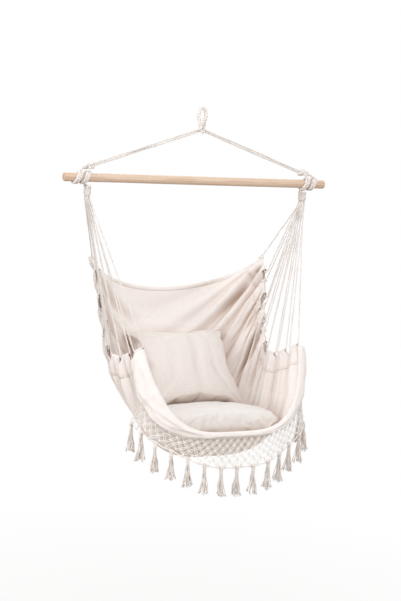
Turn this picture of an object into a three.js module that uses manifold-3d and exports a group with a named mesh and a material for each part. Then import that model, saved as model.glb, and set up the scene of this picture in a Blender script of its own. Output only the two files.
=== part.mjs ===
// A hammock chair: a canvas seat with two cushions and a knotted skirt, hung by cords from a wooden bar.
// Millimetres, +Z up, X along the bar, -Y to the front. The origin is where a hook bears in the hanging eye.
import * as THREE from 'three';
import Module from 'manifold-3d';
import { mergeVertices } from 'three/addons/utils/BufferGeometryUtils.js';

const wasm = await Module();
wasm.setup();

// Clearances and facets
const TOUCH_GAP = 0.35;
const SOFT_GAP = 0.5;
const CORD_SIDES = 8;
const LOOP_SIDES = 6;
const KNOT_SIDES = 12;
const RING_SEGMENTS = 24;

// Hanging eye
const EYE_ROPE_DIAMETER = 13;
const EYE_INNER_WIDTH = 15;
const EYE_INNER_HEIGHT = 42;
const EYE_NECK_DIAMETER = 29;
const EYE_NECK_HEIGHT = 24;
const EYE_KNOT_DIAMETER = 28;
const EYE_KNOT_DROP = 70;
const EYE_CUP_DEPTH_SHARE = 0.25;
const EYE_LOOP_STEPS = 22;
const EYE_LOOP_END_SHARE = 0.035;
const EYE_LOOP_NARROWING_SHARE = 0.94;
// The neck's outline from the foot up: shares of its radius and of its height.
const EYE_NECK_SHARES = [[0.84, 0], [1, 0.3], [0.94, 0.7], [0.7, 1]];

// Spreader bar
const BAR_LENGTH = 1000;
const BAR_DIAMETER = 30;
const BAR_DROP = 247;
const BAR_CHAMFER = 2;
const BAR_SIDES = 32;

// Yoke: the doubled rope from the eye's knot to the bar
const YOKE_ROPE_DIAMETER = 6.2;
const YOKE_KNOT_INSET = 86;
const YOKE_KNOT_X = BAR_LENGTH / 2 - YOKE_KNOT_INSET;
const YOKE_KNOT_LENGTH = 42;
const YOKE_KNOT_DEPTH = 30;
const YOKE_KNOT_HEIGHT = 26;
const YOKE_TURN_INSET = 50;
const YOKE_TURN_X = BAR_LENGTH / 2 - YOKE_TURN_INSET;
const YOKE_TAIL_DIAMETER = 9;
const YOKE_TAIL_START_SHARE = 0.67;

// Bands of cord round the bar: the seat's hitches and the yoke's turns
const BAND_WIDTH = 21;
const BAND_THICKNESS = 8;
const BAND_SLANT = 10;
const BAND_CORNER = 2.7;
const HITCH_INSET = 78;
const HITCH_X = BAR_LENGTH / 2 - HITCH_INSET;

// Gathers under the bar and the cord loops that carry the seat
const GATHER_INSET = 86;
const GATHER_X = BAR_LENGTH / 2 - GATHER_INSET;
const GATHER_WIDTH = 17;
const GATHER_DEPTH = 41;
const GATHER_HEIGHT = 36;
const CORD_DIAMETER = 4.5;
const CORD_SPACING = 5.2;
const TABS_PER_SIDE = 7;
const CORD_BEND = 9;
const CORD_TURN_LENGTH = 7.2;
const CORD_BOUND_LENGTH = 9;

// Seat canvas
const CANVAS_THICKNESS = 4;
const CANVAS_HALF_WIDTH = 332;
const CANVAS_DEPTH = 670;
const CANVAS_REACH = 380;
const CANVAS_HEIGHT = 673;
const CANVAS_DROP = 265;
const CANVAS_HALF_COLUMNS = 6;
const ROWS_PER_TAB = 4;
const FOLD_DEPTH = 9;
const NOTCH_DEPTH = 27;
const CANVAS_SIMPLIFY = 0.55;
const SLEEVE_DIAMETER = 12;
const SLEEVE_SIDES = 5;
const SLEEVE_SEAM = 4.2;

// Cushions
const CUSHION_CELLS = 12;
const BACK_CUSHION_WIDTH = 385;
const BACK_CUSHION_LENGTH = 345;
const BACK_CUSHION_THICKNESS = 135;
const SEAT_CUSHION_WIDTH = 490;
const SEAT_CUSHION_LENGTH = 390;
const SEAT_CUSHION_THICKNESS = 140;
const SEAT_CUSHION_PULL = 60;
const BACK_CUSHION_RISE = 9;

// Skirt: header cord, net, hem cord, side cords and tassels
const SKIRT_CORD_DIAMETER = 5;
const NET_COLUMNS = 28;
const NET_ROWS = 3;
const NET_CORD_DEPTH = 3.6;
const NET_KNOT_WIDTH = 6;
const NET_SIDE_SHARE = 0.33;
const SKIRT_HALF_WIDTH = 318;
const SKIRT_DEPTH = 163;
const SKIRT_FRONT_REACH = 403;
const SKIRT_DROP = 921;
const SKIRT_RISE = 128;
const TASSELS = 15;
const TASSEL_LENGTH = 106;
const TASSEL_HEAD_WIDTH = 19;
const TASSEL_FOOT_WIDTH = 38;
const TASSEL_SIDES = 8;
const TASSEL_CORD_CLEARANCE = 0.4;
const TASSEL_HEAD_RISE = 6.3;
const TASSEL_HEAD_REACH = 8.2;

// Where the canvas lies, as shares of its half width, depth and height. Depth runs from the front hem to the
// rear hem, height from the top corners down. The side edge goes from the top corner to the front tab.
const SIDE_EDGE_SHARES = [
  [1, 0.761, 0], [0.97, 0.687, 0.131], [0.94, 0.657, 0.279], [0.916, 0.619, 0.413],
  [0.904, 0.567, 0.495], [0.898, 0.463, 0.505], [0.889, 0.343, 0.465], [0.858, 0.187, 0.406],
];
const CENTRE_LINE_SHARES = [
  [1, 0.214], [0.919, 0.368], [0.833, 0.517], [0.739, 0.666], [0.627, 0.822],
  [0.493, 0.941], [0.343, 1], [0.209, 0.97], [0.09, 0.889], [0, 0.817],
];
// The section across the canvas is a bowl: fuller in the seat than at the rear hem, and fullest at the front.
const REAR_FULLNESS = 2;
const SEAT_FULLNESS = 3;
const FRONT_FULLNESS = 4;
const SIDE_STEEPNESS = 0.7;
const FRONT_STEEPNESS = 0.65;
const FOLD_REACH_SHARE = 0.55;
const TAB_ROW_SHARES = [0, 0.2, 0.5, 0.8];

// The skirt's hem from the side to the middle, as shares of its half width, depth and rise.
const SKIRT_HEM_SHARES = [
  [1, 1, 1], [0.968, 0.69, 0.875], [0.886, 0.485, 0.68], [0.742, 0.35, 0.49],
  [0.57, 0.19, 0.285], [0.392, 0.04, 0.11], [0.196, 0, 0.02], [0, 0.01, 0],
];
const SKIRT_TOP_SHARE = 0.975;
const SKIRT_BULGE = 12;
const END_CORD_STANDOFF = 1.5;

// Cushion places, as shares of the canvas depth and height, with their lean from level in degrees.
const BACK_CUSHION_CENTRE_SHARES = [0.622, 0.611];
const BACK_CUSHION_LEAN = 48;
const SEAT_CUSHION_CENTRE_SHARES = [0.32, 0.835];
const SEAT_CUSHION_LEAN = -7;
const SEAT_PULL_ANGLE = 55;
const SEAT_HEART_SHARES = [0.5, 0.4];
const CUSHION_FULLNESS = 2.6;
const CUSHION_CROWN_STEEPNESS = 0.5;
const CUSHION_SIDE_PULL_SHARE = 0.045;
const CUSHION_SEAM_SHARE = 0.07;

// Tassel outline: width shares of the head or foot, and drops as shares of the length, from the top down.
const TASSEL_HEAD_SHARES = [[0.55, 0], [1, 0.07], [0.78, 0.17]];
const TASSEL_FOOT_SHARES = [[0.6, 0.4], [1, 1]];

// Gather outline: width shares, and height shares from the top down.
const GATHER_SHARES = [[0.84, 0], [1, 0.16], [0.92, 0.42], [0.98, 0.7], [0.9, 1]];

// Derived places
const BAR_Z = -BAR_DROP;
const BAR_RADIUS = BAR_DIAMETER / 2;
const CORD_RADIUS = CORD_DIAMETER / 2;
const YOKE_RADIUS = YOKE_ROPE_DIAMETER / 2;
const SKIRT_RADIUS = SKIRT_CORD_DIAMETER / 2;
const EYE_KNOT_CENTRE = new THREE.Vector3(0, 0, -EYE_KNOT_DROP);
const BAND_INNER_RADIUS = (BAR_RADIUS + TOUCH_GAP) / Math.cos(Math.PI / RING_SEGMENTS);
const BAND_OUTER_RADIUS = BAND_INNER_RADIUS + BAND_THICKNESS;
const GATHER_TOP_Z = BAR_Z - BAND_OUTER_RADIUS - TOUCH_GAP;
const GATHER_FOOT_Z = GATHER_TOP_Z - GATHER_HEIGHT;
const YOKE_KNOT_Z = BAR_Z + BAND_OUTER_RADIUS + TOUCH_GAP + YOKE_KNOT_HEIGHT / 2;
const CANVAS_TOP_Z = BAR_Z - CANVAS_DROP;
const SLEEVE_BORE_RADIUS = (CORD_RADIUS + SOFT_GAP) / Math.cos(Math.PI / LOOP_SIDES);
const CANVAS_ROWS = TABS_PER_SIDE * ROWS_PER_TAB;
const CANVAS_COLUMNS = 2 * CANVAS_HALF_COLUMNS;
const SIDES = [['left', -1], ['right', 1]];

// Materials
const finish = (color, roughness) => new THREE.MeshStandardMaterial({ color, roughness, metalness: 0 });
const woodFinish = finish('#f0d4bc', 0.55);
const ropeFinish = finish('#efe9e4', 0.9);
const canvasFinish = finish('#e9dfda', 0.9);
const cushionFinish = finish('#efebe7', 0.9);
const macrameFinish = finish('#eee6df', 0.92);

const chair = new THREE.Group();

function addPiece(name, geometry, material) {
  const mesh = new THREE.Mesh(geometry, material);
  mesh.name = name;
  chair.add(mesh);
  return mesh;
}

// Solids to and from geometry
function solidOf(geometry) {
  const bare = new THREE.BufferGeometry();
  bare.setAttribute('position', geometry.getAttribute('position').clone());
  if (geometry.index) bare.setIndex(geometry.index.clone());
  const merged = mergeVertices(bare, TOUCH_GAP / 100);
  const corners = Array.from(merged.index.array);
  const kept = [];
  for (let i = 0; i < corners.length; i += 3) {
    const [a, b, c] = corners.slice(i, i + 3);
    if (a !== b && b !== c && c !== a) kept.push(a, b, c);
  }
  return new wasm.Manifold(new wasm.Mesh({
    numProp: 3,
    vertProperties: Float32Array.from(merged.getAttribute('position').array),
    triVerts: Uint32Array.from(kept),
  }));
}

function geometryOf(solid) {
  const mesh = solid.getMesh();
  const geometry = new THREE.BufferGeometry();
  geometry.setAttribute('position', new THREE.BufferAttribute(Float32Array.from(mesh.vertProperties), 3));
  geometry.setIndex(Array.from(mesh.triVerts));
  return geometry;
}

function joined(geometries) {
  return geometries.map(solidOf).reduce((whole, next) => whole.add(next));
}

// A closed body from a grid of rings: each ring is a list of points, and the two ends are capped.
function bodyOfRings(rings) {
  const around = rings[0].length;
  const points = rings.flat();
  const faces = [];
  for (let i = 0; i + 1 < rings.length; i += 1) {
    for (let j = 0; j < around; j += 1) {
      const a = i * around + j;
      const b = i * around + (j + 1) % around;
      faces.push(a, b, b + around, a, b + around, a + around);
    }
  }
  const last = (rings.length - 1) * around;
  for (let j = 1; j + 1 < around; j += 1) {
    faces.push(0, j + 1, j);
    faces.push(last, last + j, last + j + 1);
  }
  const geometry = new THREE.BufferGeometry();
  geometry.setAttribute('position', new THREE.Float32BufferAttribute(points.flatMap((p) => p.toArray()), 3));
  geometry.setIndex(faces);
  return geometry;
}

// A round rope through the points, with flat ends, turned as little as its path allows.
function rope(points, radius, sides = CORD_SIDES) {
  const along = points.map((p, i) => {
    const before = points[Math.max(i - 1, 0)];
    const after = points[Math.min(i + 1, points.length - 1)];
    return after.clone().sub(before).normalize();
  });
  const start = Math.abs(along[0].z) < 0.9 ? new THREE.Vector3(0, 0, 1) : new THREE.Vector3(1, 0, 0);
  let across = start.cross(along[0]).normalize();
  const rings = points.map((p, i) => {
    across = across.clone().addScaledVector(along[i], -across.dot(along[i])).normalize();
    const up = along[i].clone().cross(across);
    return Array.from({ length: sides }, (_, k) => {
      const angle = (2 * Math.PI * k) / sides;
      return p.clone()
        .addScaledVector(across, radius * Math.cos(angle))
        .addScaledVector(up, radius * Math.sin(angle));
    });
  });
  return bodyOfRings(rings);
}

// The same path with each inner corner rounded off, so a cord bends as a cord does.
function rounded(points, bend) {
  const path = [points[0]];
  for (let i = 1; i + 1 < points.length; i += 1) {
    const corner = points[i];
    const back = points[i - 1].clone().sub(corner);
    const on = points[i + 1].clone().sub(corner);
    const reach = Math.min(bend, back.length() / 2, on.length() / 2);
    const bendCurve = new THREE.QuadraticBezierCurve3(
      corner.clone().addScaledVector(back.normalize(), reach),
      corner,
      corner.clone().addScaledVector(on.normalize(), reach),
    );
    path.push(...bendCurve.getPoints(2));
  }
  path.push(points[points.length - 1]);
  return path;
}

// Hanging eye: a loop of rope with its two legs bound in a neck, which cups the knot below
function eyeLoopPoint(share) {
  const angle = Math.PI * (2 * share - 1);
  const halfWidth = (EYE_INNER_WIDTH + EYE_ROPE_DIAMETER) / 2;
  const height = EYE_INNER_HEIGHT + EYE_ROPE_DIAMETER / 2;
  const side = Math.sin(angle * EYE_LOOP_NARROWING_SHARE);
  return new THREE.Vector3(halfWidth * side, 0, EYE_ROPE_DIAMETER / 2 - (height * (1 - Math.cos(angle))) / 2);
}

function hangingEye() {
  const loopPoints = Array.from({ length: EYE_LOOP_STEPS + 1 }, (_, i) => (
    eyeLoopPoint(EYE_LOOP_END_SHARE + ((1 - 2 * EYE_LOOP_END_SHARE) * i) / EYE_LOOP_STEPS)));
  const neckFoot = -EYE_KNOT_DROP + EYE_KNOT_DIAMETER * EYE_CUP_DEPTH_SHARE;
  const neckRadius = EYE_NECK_DIAMETER / 2;
  const neck = new THREE.LatheGeometry([
    new THREE.Vector2(0, 0),
    ...EYE_NECK_SHARES.map(([width, rise]) => new THREE.Vector2(width * neckRadius, rise * EYE_NECK_HEIGHT)),
    new THREE.Vector2(0, EYE_NECK_HEIGHT),
  ], KNOT_SIDES);
  neck.rotateX(Math.PI / 2);
  neck.translate(0, 0, neckFoot);
  const cup = new THREE.SphereGeometry(EYE_KNOT_DIAMETER / 2 + SOFT_GAP, KNOT_SIDES * 2, KNOT_SIDES);
  cup.translate(...EYE_KNOT_CENTRE.toArray());
  return geometryOf(joined([rope(loopPoints, EYE_ROPE_DIAMETER / 2, KNOT_SIDES), neck]).subtract(solidOf(cup)));
}
addPiece('hanging_eye', hangingEye(), ropeFinish);

const eyeKnot = new THREE.SphereGeometry(EYE_KNOT_DIAMETER / 2, KNOT_SIDES, KNOT_SIDES / 2);
addPiece('eye_knot', eyeKnot, ropeFinish).position.copy(EYE_KNOT_CENTRE);

// Spreader bar with its edges broken
function spreaderBar() {
  const half = BAR_LENGTH / 2;
  const bar = new THREE.LatheGeometry([
    new THREE.Vector2(0, -half),
    new THREE.Vector2(BAR_RADIUS - BAR_CHAMFER, -half),
    new THREE.Vector2(BAR_RADIUS, -half + BAR_CHAMFER),
    new THREE.Vector2(BAR_RADIUS, half - BAR_CHAMFER),
    new THREE.Vector2(BAR_RADIUS - BAR_CHAMFER, half),
    new THREE.Vector2(0, half),
  ], BAR_SIDES);
  return bar.rotateZ(Math.PI / 2);
}
addPiece('spreader_bar', spreaderBar(), woodFinish).position.z = BAR_Z;

// A band of cords round the bar, which leans along it from top to bottom
function barBand() {
  const half = BAND_WIDTH / 2;
  const profile = [
    [BAND_INNER_RADIUS, -half], [BAND_OUTER_RADIUS - BAND_CORNER, -half], [BAND_OUTER_RADIUS, -half + BAND_CORNER],
    [BAND_OUTER_RADIUS, half - BAND_CORNER], [BAND_OUTER_RADIUS - BAND_CORNER, half], [BAND_INNER_RADIUS, half],
    [BAND_INNER_RADIUS, -half],
  ].map(([radius, along]) => new THREE.Vector2(radius, along));
  const band = new THREE.LatheGeometry(profile, RING_SEGMENTS).rotateZ(Math.PI / 2);
  const place = band.getAttribute('position');
  for (let i = 0; i < place.count; i += 1) {
    const height = place.getZ(i) / Math.hypot(place.getY(i), place.getZ(i));
    place.setX(i, place.getX(i) + BAND_SLANT * height);
  }
  return band;
}

function gatherWhipping() {
  const profile = GATHER_SHARES.map(([width, drop]) => new THREE.Vector2(width / 2, -drop * GATHER_HEIGHT));
  const whipping = new THREE.LatheGeometry([
    new THREE.Vector2(0, profile[0].y),
    ...profile,
    new THREE.Vector2(0, profile[profile.length - 1].y),
  ].reverse(), KNOT_SIDES);
  return whipping.rotateX(Math.PI / 2).scale(GATHER_WIDTH, GATHER_DEPTH, 1);
}

// The yoke's turn round the bar, and the tail that runs up from it to the yoke's knot
function yokeTurn(side) {
  const band = barBand();
  band.translate(side * YOKE_TURN_X, 0, BAR_Z);
  const knotEnd = side * (YOKE_KNOT_X + (YOKE_TAIL_START_SHARE * YOKE_KNOT_LENGTH) / 2);
  const tail = rope([
    new THREE.Vector3(knotEnd, 0, YOKE_KNOT_Z),
    new THREE.Vector3(side * YOKE_TURN_X + BAND_SLANT, 0, BAR_Z + BAND_OUTER_RADIUS - YOKE_TAIL_DIAMETER / 3),
  ], YOKE_TAIL_DIAMETER / 2);
  const hitchRoom = new THREE.CylinderGeometry(
    BAND_OUTER_RADIUS + SOFT_GAP, BAND_OUTER_RADIUS + SOFT_GAP, BAND_WIDTH + 2 * BAND_SLANT + 2 * SOFT_GAP,
    RING_SEGMENTS);
  hitchRoom.rotateZ(Math.PI / 2).translate(side * HITCH_X, 0, BAR_Z);
  const freeTail = solidOf(tail).subtract(solidOf(hitchRoom)).subtract(solidOf(yokeKnot(side, SOFT_GAP)));
  const barRoom = new THREE.CylinderGeometry(BAND_INNER_RADIUS, BAND_INNER_RADIUS, BAR_LENGTH, RING_SEGMENTS);
  barRoom.rotateZ(Math.PI / 2).translate(0, 0, BAR_Z);
  return geometryOf(solidOf(band).add(freeTail.subtract(solidOf(barRoom))));
}

function yokeKnot(side, clearance) {
  const knot = new THREE.SphereGeometry(1, KNOT_SIDES, KNOT_SIDES / 2);
  knot.scale(
    YOKE_KNOT_LENGTH / 2 + clearance,
    YOKE_KNOT_DEPTH / 2 + clearance,
    YOKE_KNOT_HEIGHT / 2 + clearance,
  );
  return knot.translate(side * YOKE_KNOT_X, 0, YOKE_KNOT_Z);
}

// Two ropes on each side, one above the other, from the eye's knot to the yoke's knot
function yokeRope(side, row) {
  const far = new THREE.Vector3(side * YOKE_KNOT_X, 0, YOKE_KNOT_Z);
  const run = far.clone().sub(EYE_KNOT_CENTRE).normalize();
  const above = new THREE.Vector3(-run.z, 0, run.x).multiplyScalar(side * row * (YOKE_RADIUS + TOUCH_GAP / 2));
  const length = rope([EYE_KNOT_CENTRE.clone().add(above), far.clone().add(above)], YOKE_RADIUS);
  const eyeRoom = new THREE.SphereGeometry(EYE_KNOT_DIAMETER / 2 + SOFT_GAP, KNOT_SIDES, KNOT_SIDES / 2);
  eyeRoom.translate(...EYE_KNOT_CENTRE.toArray());
  return geometryOf(solidOf(length)
    .subtract(solidOf(eyeRoom))
    .subtract(solidOf(yokeKnot(side, TOUCH_GAP))));
}

for (const [name, side] of SIDES) {
  addPiece(`yoke_rope_upper_${name}`, yokeRope(side, 1), ropeFinish);
  addPiece(`yoke_rope_lower_${name}`, yokeRope(side, -1), ropeFinish);
  addPiece(`yoke_knot_${name}`, yokeKnot(side, 0), ropeFinish);
  addPiece(`yoke_turn_${name}`, yokeTurn(side), ropeFinish);
  addPiece(`hitch_band_${name}`, barBand(), ropeFinish).position.set(side * HITCH_X, 0, BAR_Z);
  addPiece(`gather_${name}`, gatherWhipping(), ropeFinish).position.set(side * GATHER_X, 0, GATHER_TOP_Z);
}

// Canvas surface
const sideCurve = new THREE.CatmullRomCurve3(SIDE_EDGE_SHARES.map(([x, y, z]) => new THREE.Vector3(
  x * CANVAS_HALF_WIDTH, y * CANVAS_DEPTH - CANVAS_REACH, CANVAS_TOP_Z - z * CANVAS_HEIGHT)), false, 'centripetal');
const centreCurve = new THREE.CatmullRomCurve3(CENTRE_LINE_SHARES.map(([y, z]) => new THREE.Vector3(
  0, y * CANVAS_DEPTH - CANVAS_REACH, CANVAS_TOP_Z - z * CANVAS_HEIGHT)), false, 'centripetal');

function canvasPoint(down, across) {
  const edge = sideCurve.getPointAt(down);
  const middle = centreCurve.getPointAt(down);
  const toSeat = Math.min(1, down * 2);
  const toFront = Math.max(0, down * 2 - 1);
  const fullness = REAR_FULLNESS + (SEAT_FULLNESS - REAR_FULLNESS) * toSeat
    + (FRONT_FULLNESS - SEAT_FULLNESS) * toFront;
  const steepness = SIDE_STEEPNESS + (FRONT_STEEPNESS - SIDE_STEEPNESS) * toFront;
  const toEdge = 1 - (1 - Math.abs(across) ** fullness) ** steepness;
  const point = middle.lerp(edge, toEdge);
  point.x = edge.x * across;
  return point;
}

const rowShares = Array.from({ length: CANVAS_ROWS + 1 }, (_, i) => {
  const tab = Math.floor(i / ROWS_PER_TAB);
  return (tab + (TAB_ROW_SHARES[i % ROWS_PER_TAB])) / TABS_PER_SIDE;
});
const columnShares = Array.from({ length: CANVAS_COLUMNS + 1 }, (_, j) => (
  Math.sin((Math.PI / 2) * (j / CANVAS_HALF_COLUMNS - 1))));

function gridNormals(grid) {
  return grid.map((row, i) => row.map((_, j) => {
    const above = grid[Math.max(i - 1, 0)][j];
    const below = grid[Math.min(i + 1, grid.length - 1)][j];
    const left = row[Math.max(j - 1, 0)];
    const right = row[Math.min(j + 1, row.length - 1)];
    return right.clone().sub(left).cross(above.clone().sub(below)).normalize();
  }));
}

// The canvas falls in folds from its tabs, and is cut in to a notch between one tab and the next.
function canvasGrid() {
  const smooth = rowShares.map((down) => columnShares.map((across) => canvasPoint(down, across)));
  const normals = gridNormals(smooth);
  return smooth.map((row, i) => row.map((point, j) => {
    const across = Math.abs(columnShares[j]);
    const fade = Math.max(0, (across - FOLD_REACH_SHARE) / (1 - FOLD_REACH_SHARE));
    const wave = Math.cos(2 * Math.PI * rowShares[i] * TABS_PER_SIDE);
    const folded = point.clone().addScaledVector(normals[i][j], -FOLD_DEPTH * fade * wave);
    const isEdge = j === 0 || j === CANVAS_COLUMNS;
    const isNotch = i % ROWS_PER_TAB === 0 && i > 0 && i < CANVAS_ROWS;
    if (!isEdge || !isNotch) return folded;
    const inner = row[j === 0 ? 1 : CANVAS_COLUMNS - 1];
    return folded.addScaledVector(inner.clone().sub(point).normalize(), NOTCH_DEPTH);
  }));
}

// A tab's edge is straight between its two shoulders, where its sleeve is sewn.
function straightenTabs(grid) {
  for (const column of [0, CANVAS_COLUMNS]) {
    for (let tab = 0; tab < TABS_PER_SIDE; tab += 1) {
      const first = tab * ROWS_PER_TAB + 1;
      const last = first + ROWS_PER_TAB - 2;
      for (let i = first + 1; i < last; i += 1) {
        grid[i][column] = grid[first][column].clone().lerp(grid[last][column], (i - first) / (last - first));
      }
    }
  }
  return grid;
}
const canvas = straightenTabs(canvasGrid());
const canvasNormals = gridNormals(canvas);

// A closed sheet between two offsets of a grid of points
function sheetBetween(upper, lower) {
  const rings = upper.map((row, i) => [...lower[i], ...row.slice().reverse()]);
  return bodyOfSheetRings(rings, upper[0].length);
}

// As a body of rings, but its two end caps are strips, since each ring is long, thin and bent.
function bodyOfSheetRings(rings, width) {
  const geometry = bodyOfRings(rings);
  const around = 2 * width;
  const sideFaces = 6 * around * (rings.length - 1);
  const faces = Array.from(geometry.index.array).slice(0, sideFaces);
  const last = (rings.length - 1) * around;
  for (let j = 0; j + 1 < width; j += 1) {
    const under = around - 1 - j;
    faces.push(j, under, j + 1, j + 1, under, under - 1);
    faces.push(last + j, last + j + 1, last + under, last + j + 1, last + under - 1, last + under);
  }
  geometry.setIndex(faces);
  return geometry;
}

const offsetGrid = (grid, normals, by) => grid.map((row, i) => row.map((p, j) => (
  p.clone().addScaledVector(normals[i][j], by))));

// Sleeves along the tabs, with a bore for the cord
function sleeveEnds(side, tab) {
  const column = side < 0 ? 0 : CANVAS_COLUMNS;
  const rear = canvas[tab * ROWS_PER_TAB + 1][column];
  const front = canvas[tab * ROWS_PER_TAB + ROWS_PER_TAB - 1][column];
  return [rear, front];
}

// The cloth stops short of each sleeve's bore, inside the sleeve's wall.
function hemmedCanvas() {
  return canvas.map((row, i) => row.map((point, j) => {
    const isEdge = j === 0 || j === CANVAS_COLUMNS;
    if (!isEdge || i % ROWS_PER_TAB === 0) return point;
    const inner = row[j === 0 ? 1 : CANVAS_COLUMNS - 1];
    return point.clone().addScaledVector(inner.clone().sub(point).normalize(), SLEEVE_SEAM);
  }));
}

function seatCanvas() {
  const half = CANVAS_THICKNESS / 2;
  const cut = hemmedCanvas();
  let cloth = solidOf(sheetBetween(offsetGrid(cut, canvasNormals, half), offsetGrid(cut, canvasNormals, -half)));
  for (const [, side] of SIDES) {
    for (let tab = 0; tab < TABS_PER_SIDE; tab += 1) {
      const [rear, front] = sleeveEnds(side, tab);
      cloth = cloth.add(solidOf(rope([rear, front], SLEEVE_DIAMETER / 2, SLEEVE_SIDES)));
    }
  }
  for (const [, side] of SIDES) {
    for (let tab = 0; tab < TABS_PER_SIDE; tab += 1) {
      const [rear, front] = sleeveEnds(side, tab);
      const beyond = front.clone().sub(rear).setLength(CORD_DIAMETER);
      const bore = rope([rear.clone().sub(beyond), front.clone().add(beyond)], SLEEVE_BORE_RADIUS, LOOP_SIDES);
      cloth = cloth.subtract(solidOf(bore));
    }
  }
  return geometryOf(cloth.asOriginal().simplify(CANVAS_SIMPLIFY));
}

// Each cord loop comes down from the gather, runs through its tab's sleeve and goes back up.
function loopPath(side, tab) {
  const [rear, front] = sleeveEnds(side, tab);
  const rowY = (0.5 * (TABS_PER_SIDE - 1) - tab) * CORD_SPACING;
  const top = (column) => new THREE.Vector3(
    side * GATHER_X + (column * CORD_SPACING) / 2, rowY, GATHER_FOOT_Z - TOUCH_GAP);
  const run = front.clone().sub(rear).normalize();
  const pull = top(0).sub(front);
  const outward = pull.addScaledVector(run, -pull.dot(run)).normalize();
  const turn = (end, sign) => end.clone().addScaledVector(run, sign * CORD_TURN_LENGTH);
  const clear = (end, sign) => turn(end, sign).addScaledVector(outward, SLEEVE_DIAMETER);
  const bound = new THREE.Vector3(0, 0, -CORD_BOUND_LENGTH);
  return [
    top(side),
    ...rounded([
      top(side).add(bound), clear(rear, -1), turn(rear, -1), turn(front, 1), clear(front, 1), top(-side).add(bound),
    ], CORD_BEND),
    top(-side),
  ];
}

addPiece('seat_canvas', seatCanvas(), canvasFinish);
for (const [name, side] of SIDES) {
  for (let tab = 0; tab < TABS_PER_SIDE; tab += 1) {
    addPiece(`cord_loop_${name}_${tab + 1}`, rope(loopPath(side, tab), CORD_RADIUS, LOOP_SIDES), ropeFinish);
  }
}

// Cushions: a crowned pillow, pinched at its seam and drawn in between its corners
function pillow(width, length, thickness) {
  const cells = CUSHION_CELLS;
  const spread = (k) => Math.sin((Math.PI / 2) * ((2 * k) / cells - 1));
  const face = (sign) => Array.from({ length: cells + 1 }, (_, i) => Array.from({ length: cells + 1 }, (_, j) => {
    const u = spread(i);
    const v = spread(j);
    const crown = ((1 - Math.abs(u) ** CUSHION_FULLNESS) * (1 - Math.abs(v) ** CUSHION_FULLNESS)) ** CUSHION_CROWN_STEEPNESS;
    const pullU = 1 - CUSHION_SIDE_PULL_SHARE * (1 - v * v);
    const pullV = 1 - CUSHION_SIDE_PULL_SHARE * (1 - u * u);
    const rise = thickness * (CUSHION_SEAM_SHARE + (1 - CUSHION_SEAM_SHARE) * crown);
    return new THREE.Vector3((v * pullV * width) / 2, (-u * pullU * length) / 2, (sign * rise) / 2);
  }));
  return sheetBetween(face(1), face(-1));
}

const canvasPlace = ([depth, height]) => new THREE.Vector3(
  0, depth * CANVAS_DEPTH - CANVAS_REACH, CANVAS_TOP_Z - height * CANVAS_HEIGHT);
const direction = (degrees) => new THREE.Vector3(
  0, -Math.cos(THREE.MathUtils.degToRad(degrees)), Math.sin(THREE.MathUtils.degToRad(degrees)));

function placedPillow(width, length, thickness, lean, centre, grow = 0) {
  const cushion = pillow(width + 2 * grow, length + 2 * grow, thickness + 2 * grow);
  cushion.rotateX(THREE.MathUtils.degToRad(lean));
  const at = canvasPlace(centre);
  return cushion.translate(at.x, at.y, at.z);
}

// The room that the canvas and all that lies outside it takes, grown by the gap to the cushions
function canvasRoom() {
  const upper = offsetGrid(canvas, canvasNormals, CANVAS_THICKNESS / 2 + SOFT_GAP);
  const heart = canvasPlace(SEAT_HEART_SHARES);
  const away = BACK_CUSHION_THICKNESS + SEAT_CUSHION_THICKNESS;
  const lower = canvas.map((row) => row.map((p) => (
    p.clone().addScaledVector(p.clone().sub(heart).normalize(), away))));
  return solidOf(sheetBetween(upper, lower));
}

const backPillow = (grow) => placedPillow(
  BACK_CUSHION_WIDTH, BACK_CUSHION_LENGTH, BACK_CUSHION_THICKNESS,
  BACK_CUSHION_LEAN, BACK_CUSHION_CENTRE_SHARES, grow);
const outsideRoom = canvasRoom();
addPiece('back_cushion', geometryOf(solidOf(backPillow(0)).subtract(outsideRoom)), cushionFinish);

// The seat cushion is pressed down where the back cushion stands on it. The hollow leaves it free to be pulled
// forward and lets the back cushion be lifted.
function seatCushion() {
  const whole = solidOf(placedPillow(
    SEAT_CUSHION_WIDTH, SEAT_CUSHION_LENGTH, SEAT_CUSHION_THICKNESS,
    SEAT_CUSHION_LEAN, SEAT_CUSHION_CENTRE_SHARES)).subtract(outsideRoom);
  const resting = solidOf(backPillow(SOFT_GAP));
  const pull = direction(SEAT_PULL_ANGLE).multiplyScalar(-SEAT_CUSHION_PULL);
  const swept = wasm.Manifold.hull([resting, resting.translate(pull.toArray())]);
  const lifted = wasm.Manifold.hull([resting, resting.translate([0, 0, BACK_CUSHION_RISE])]);
  return geometryOf(whole.subtract(swept).subtract(lifted));
}
addPiece('seat_cushion', seatCushion(), cushionFinish);

// Skirt: the header cord lies along the canvas's front hem, and the hem cord hangs below it.
const front = canvas[CANVAS_ROWS];
const beforeFront = canvas[CANVAS_ROWS - 1];
const beyondFront = (j, distance) => front[j].clone().addScaledVector(
  front[j].clone().sub(beforeFront[j]).normalize(), distance);
const headerDistance = SOFT_GAP + SKIRT_RADIUS;
const headerMiddle = front.slice(2, -2).map((_, k) => beyondFront(k + 2, headerDistance));
const headerEnd = (j, next) => beyondFront(j, headerDistance).lerp(beyondFront(next, headerDistance), 0.5);
const headerPoints = [
  headerEnd(1, 2),
  ...headerMiddle,
  headerEnd(CANVAS_COLUMNS - 1, CANVAS_COLUMNS - 2),
];

// The path through the points in straight lengths, measured by its length
function straightPath(points) {
  const path = new THREE.CurvePath();
  points.slice(1).forEach((point, k) => path.add(new THREE.LineCurve3(points[k], point)));
  return path;
}
const headerPath = straightPath(headerPoints);
addPiece('skirt_header_cord', rope(headerPoints, SKIRT_RADIUS), macrameFinish);

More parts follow.
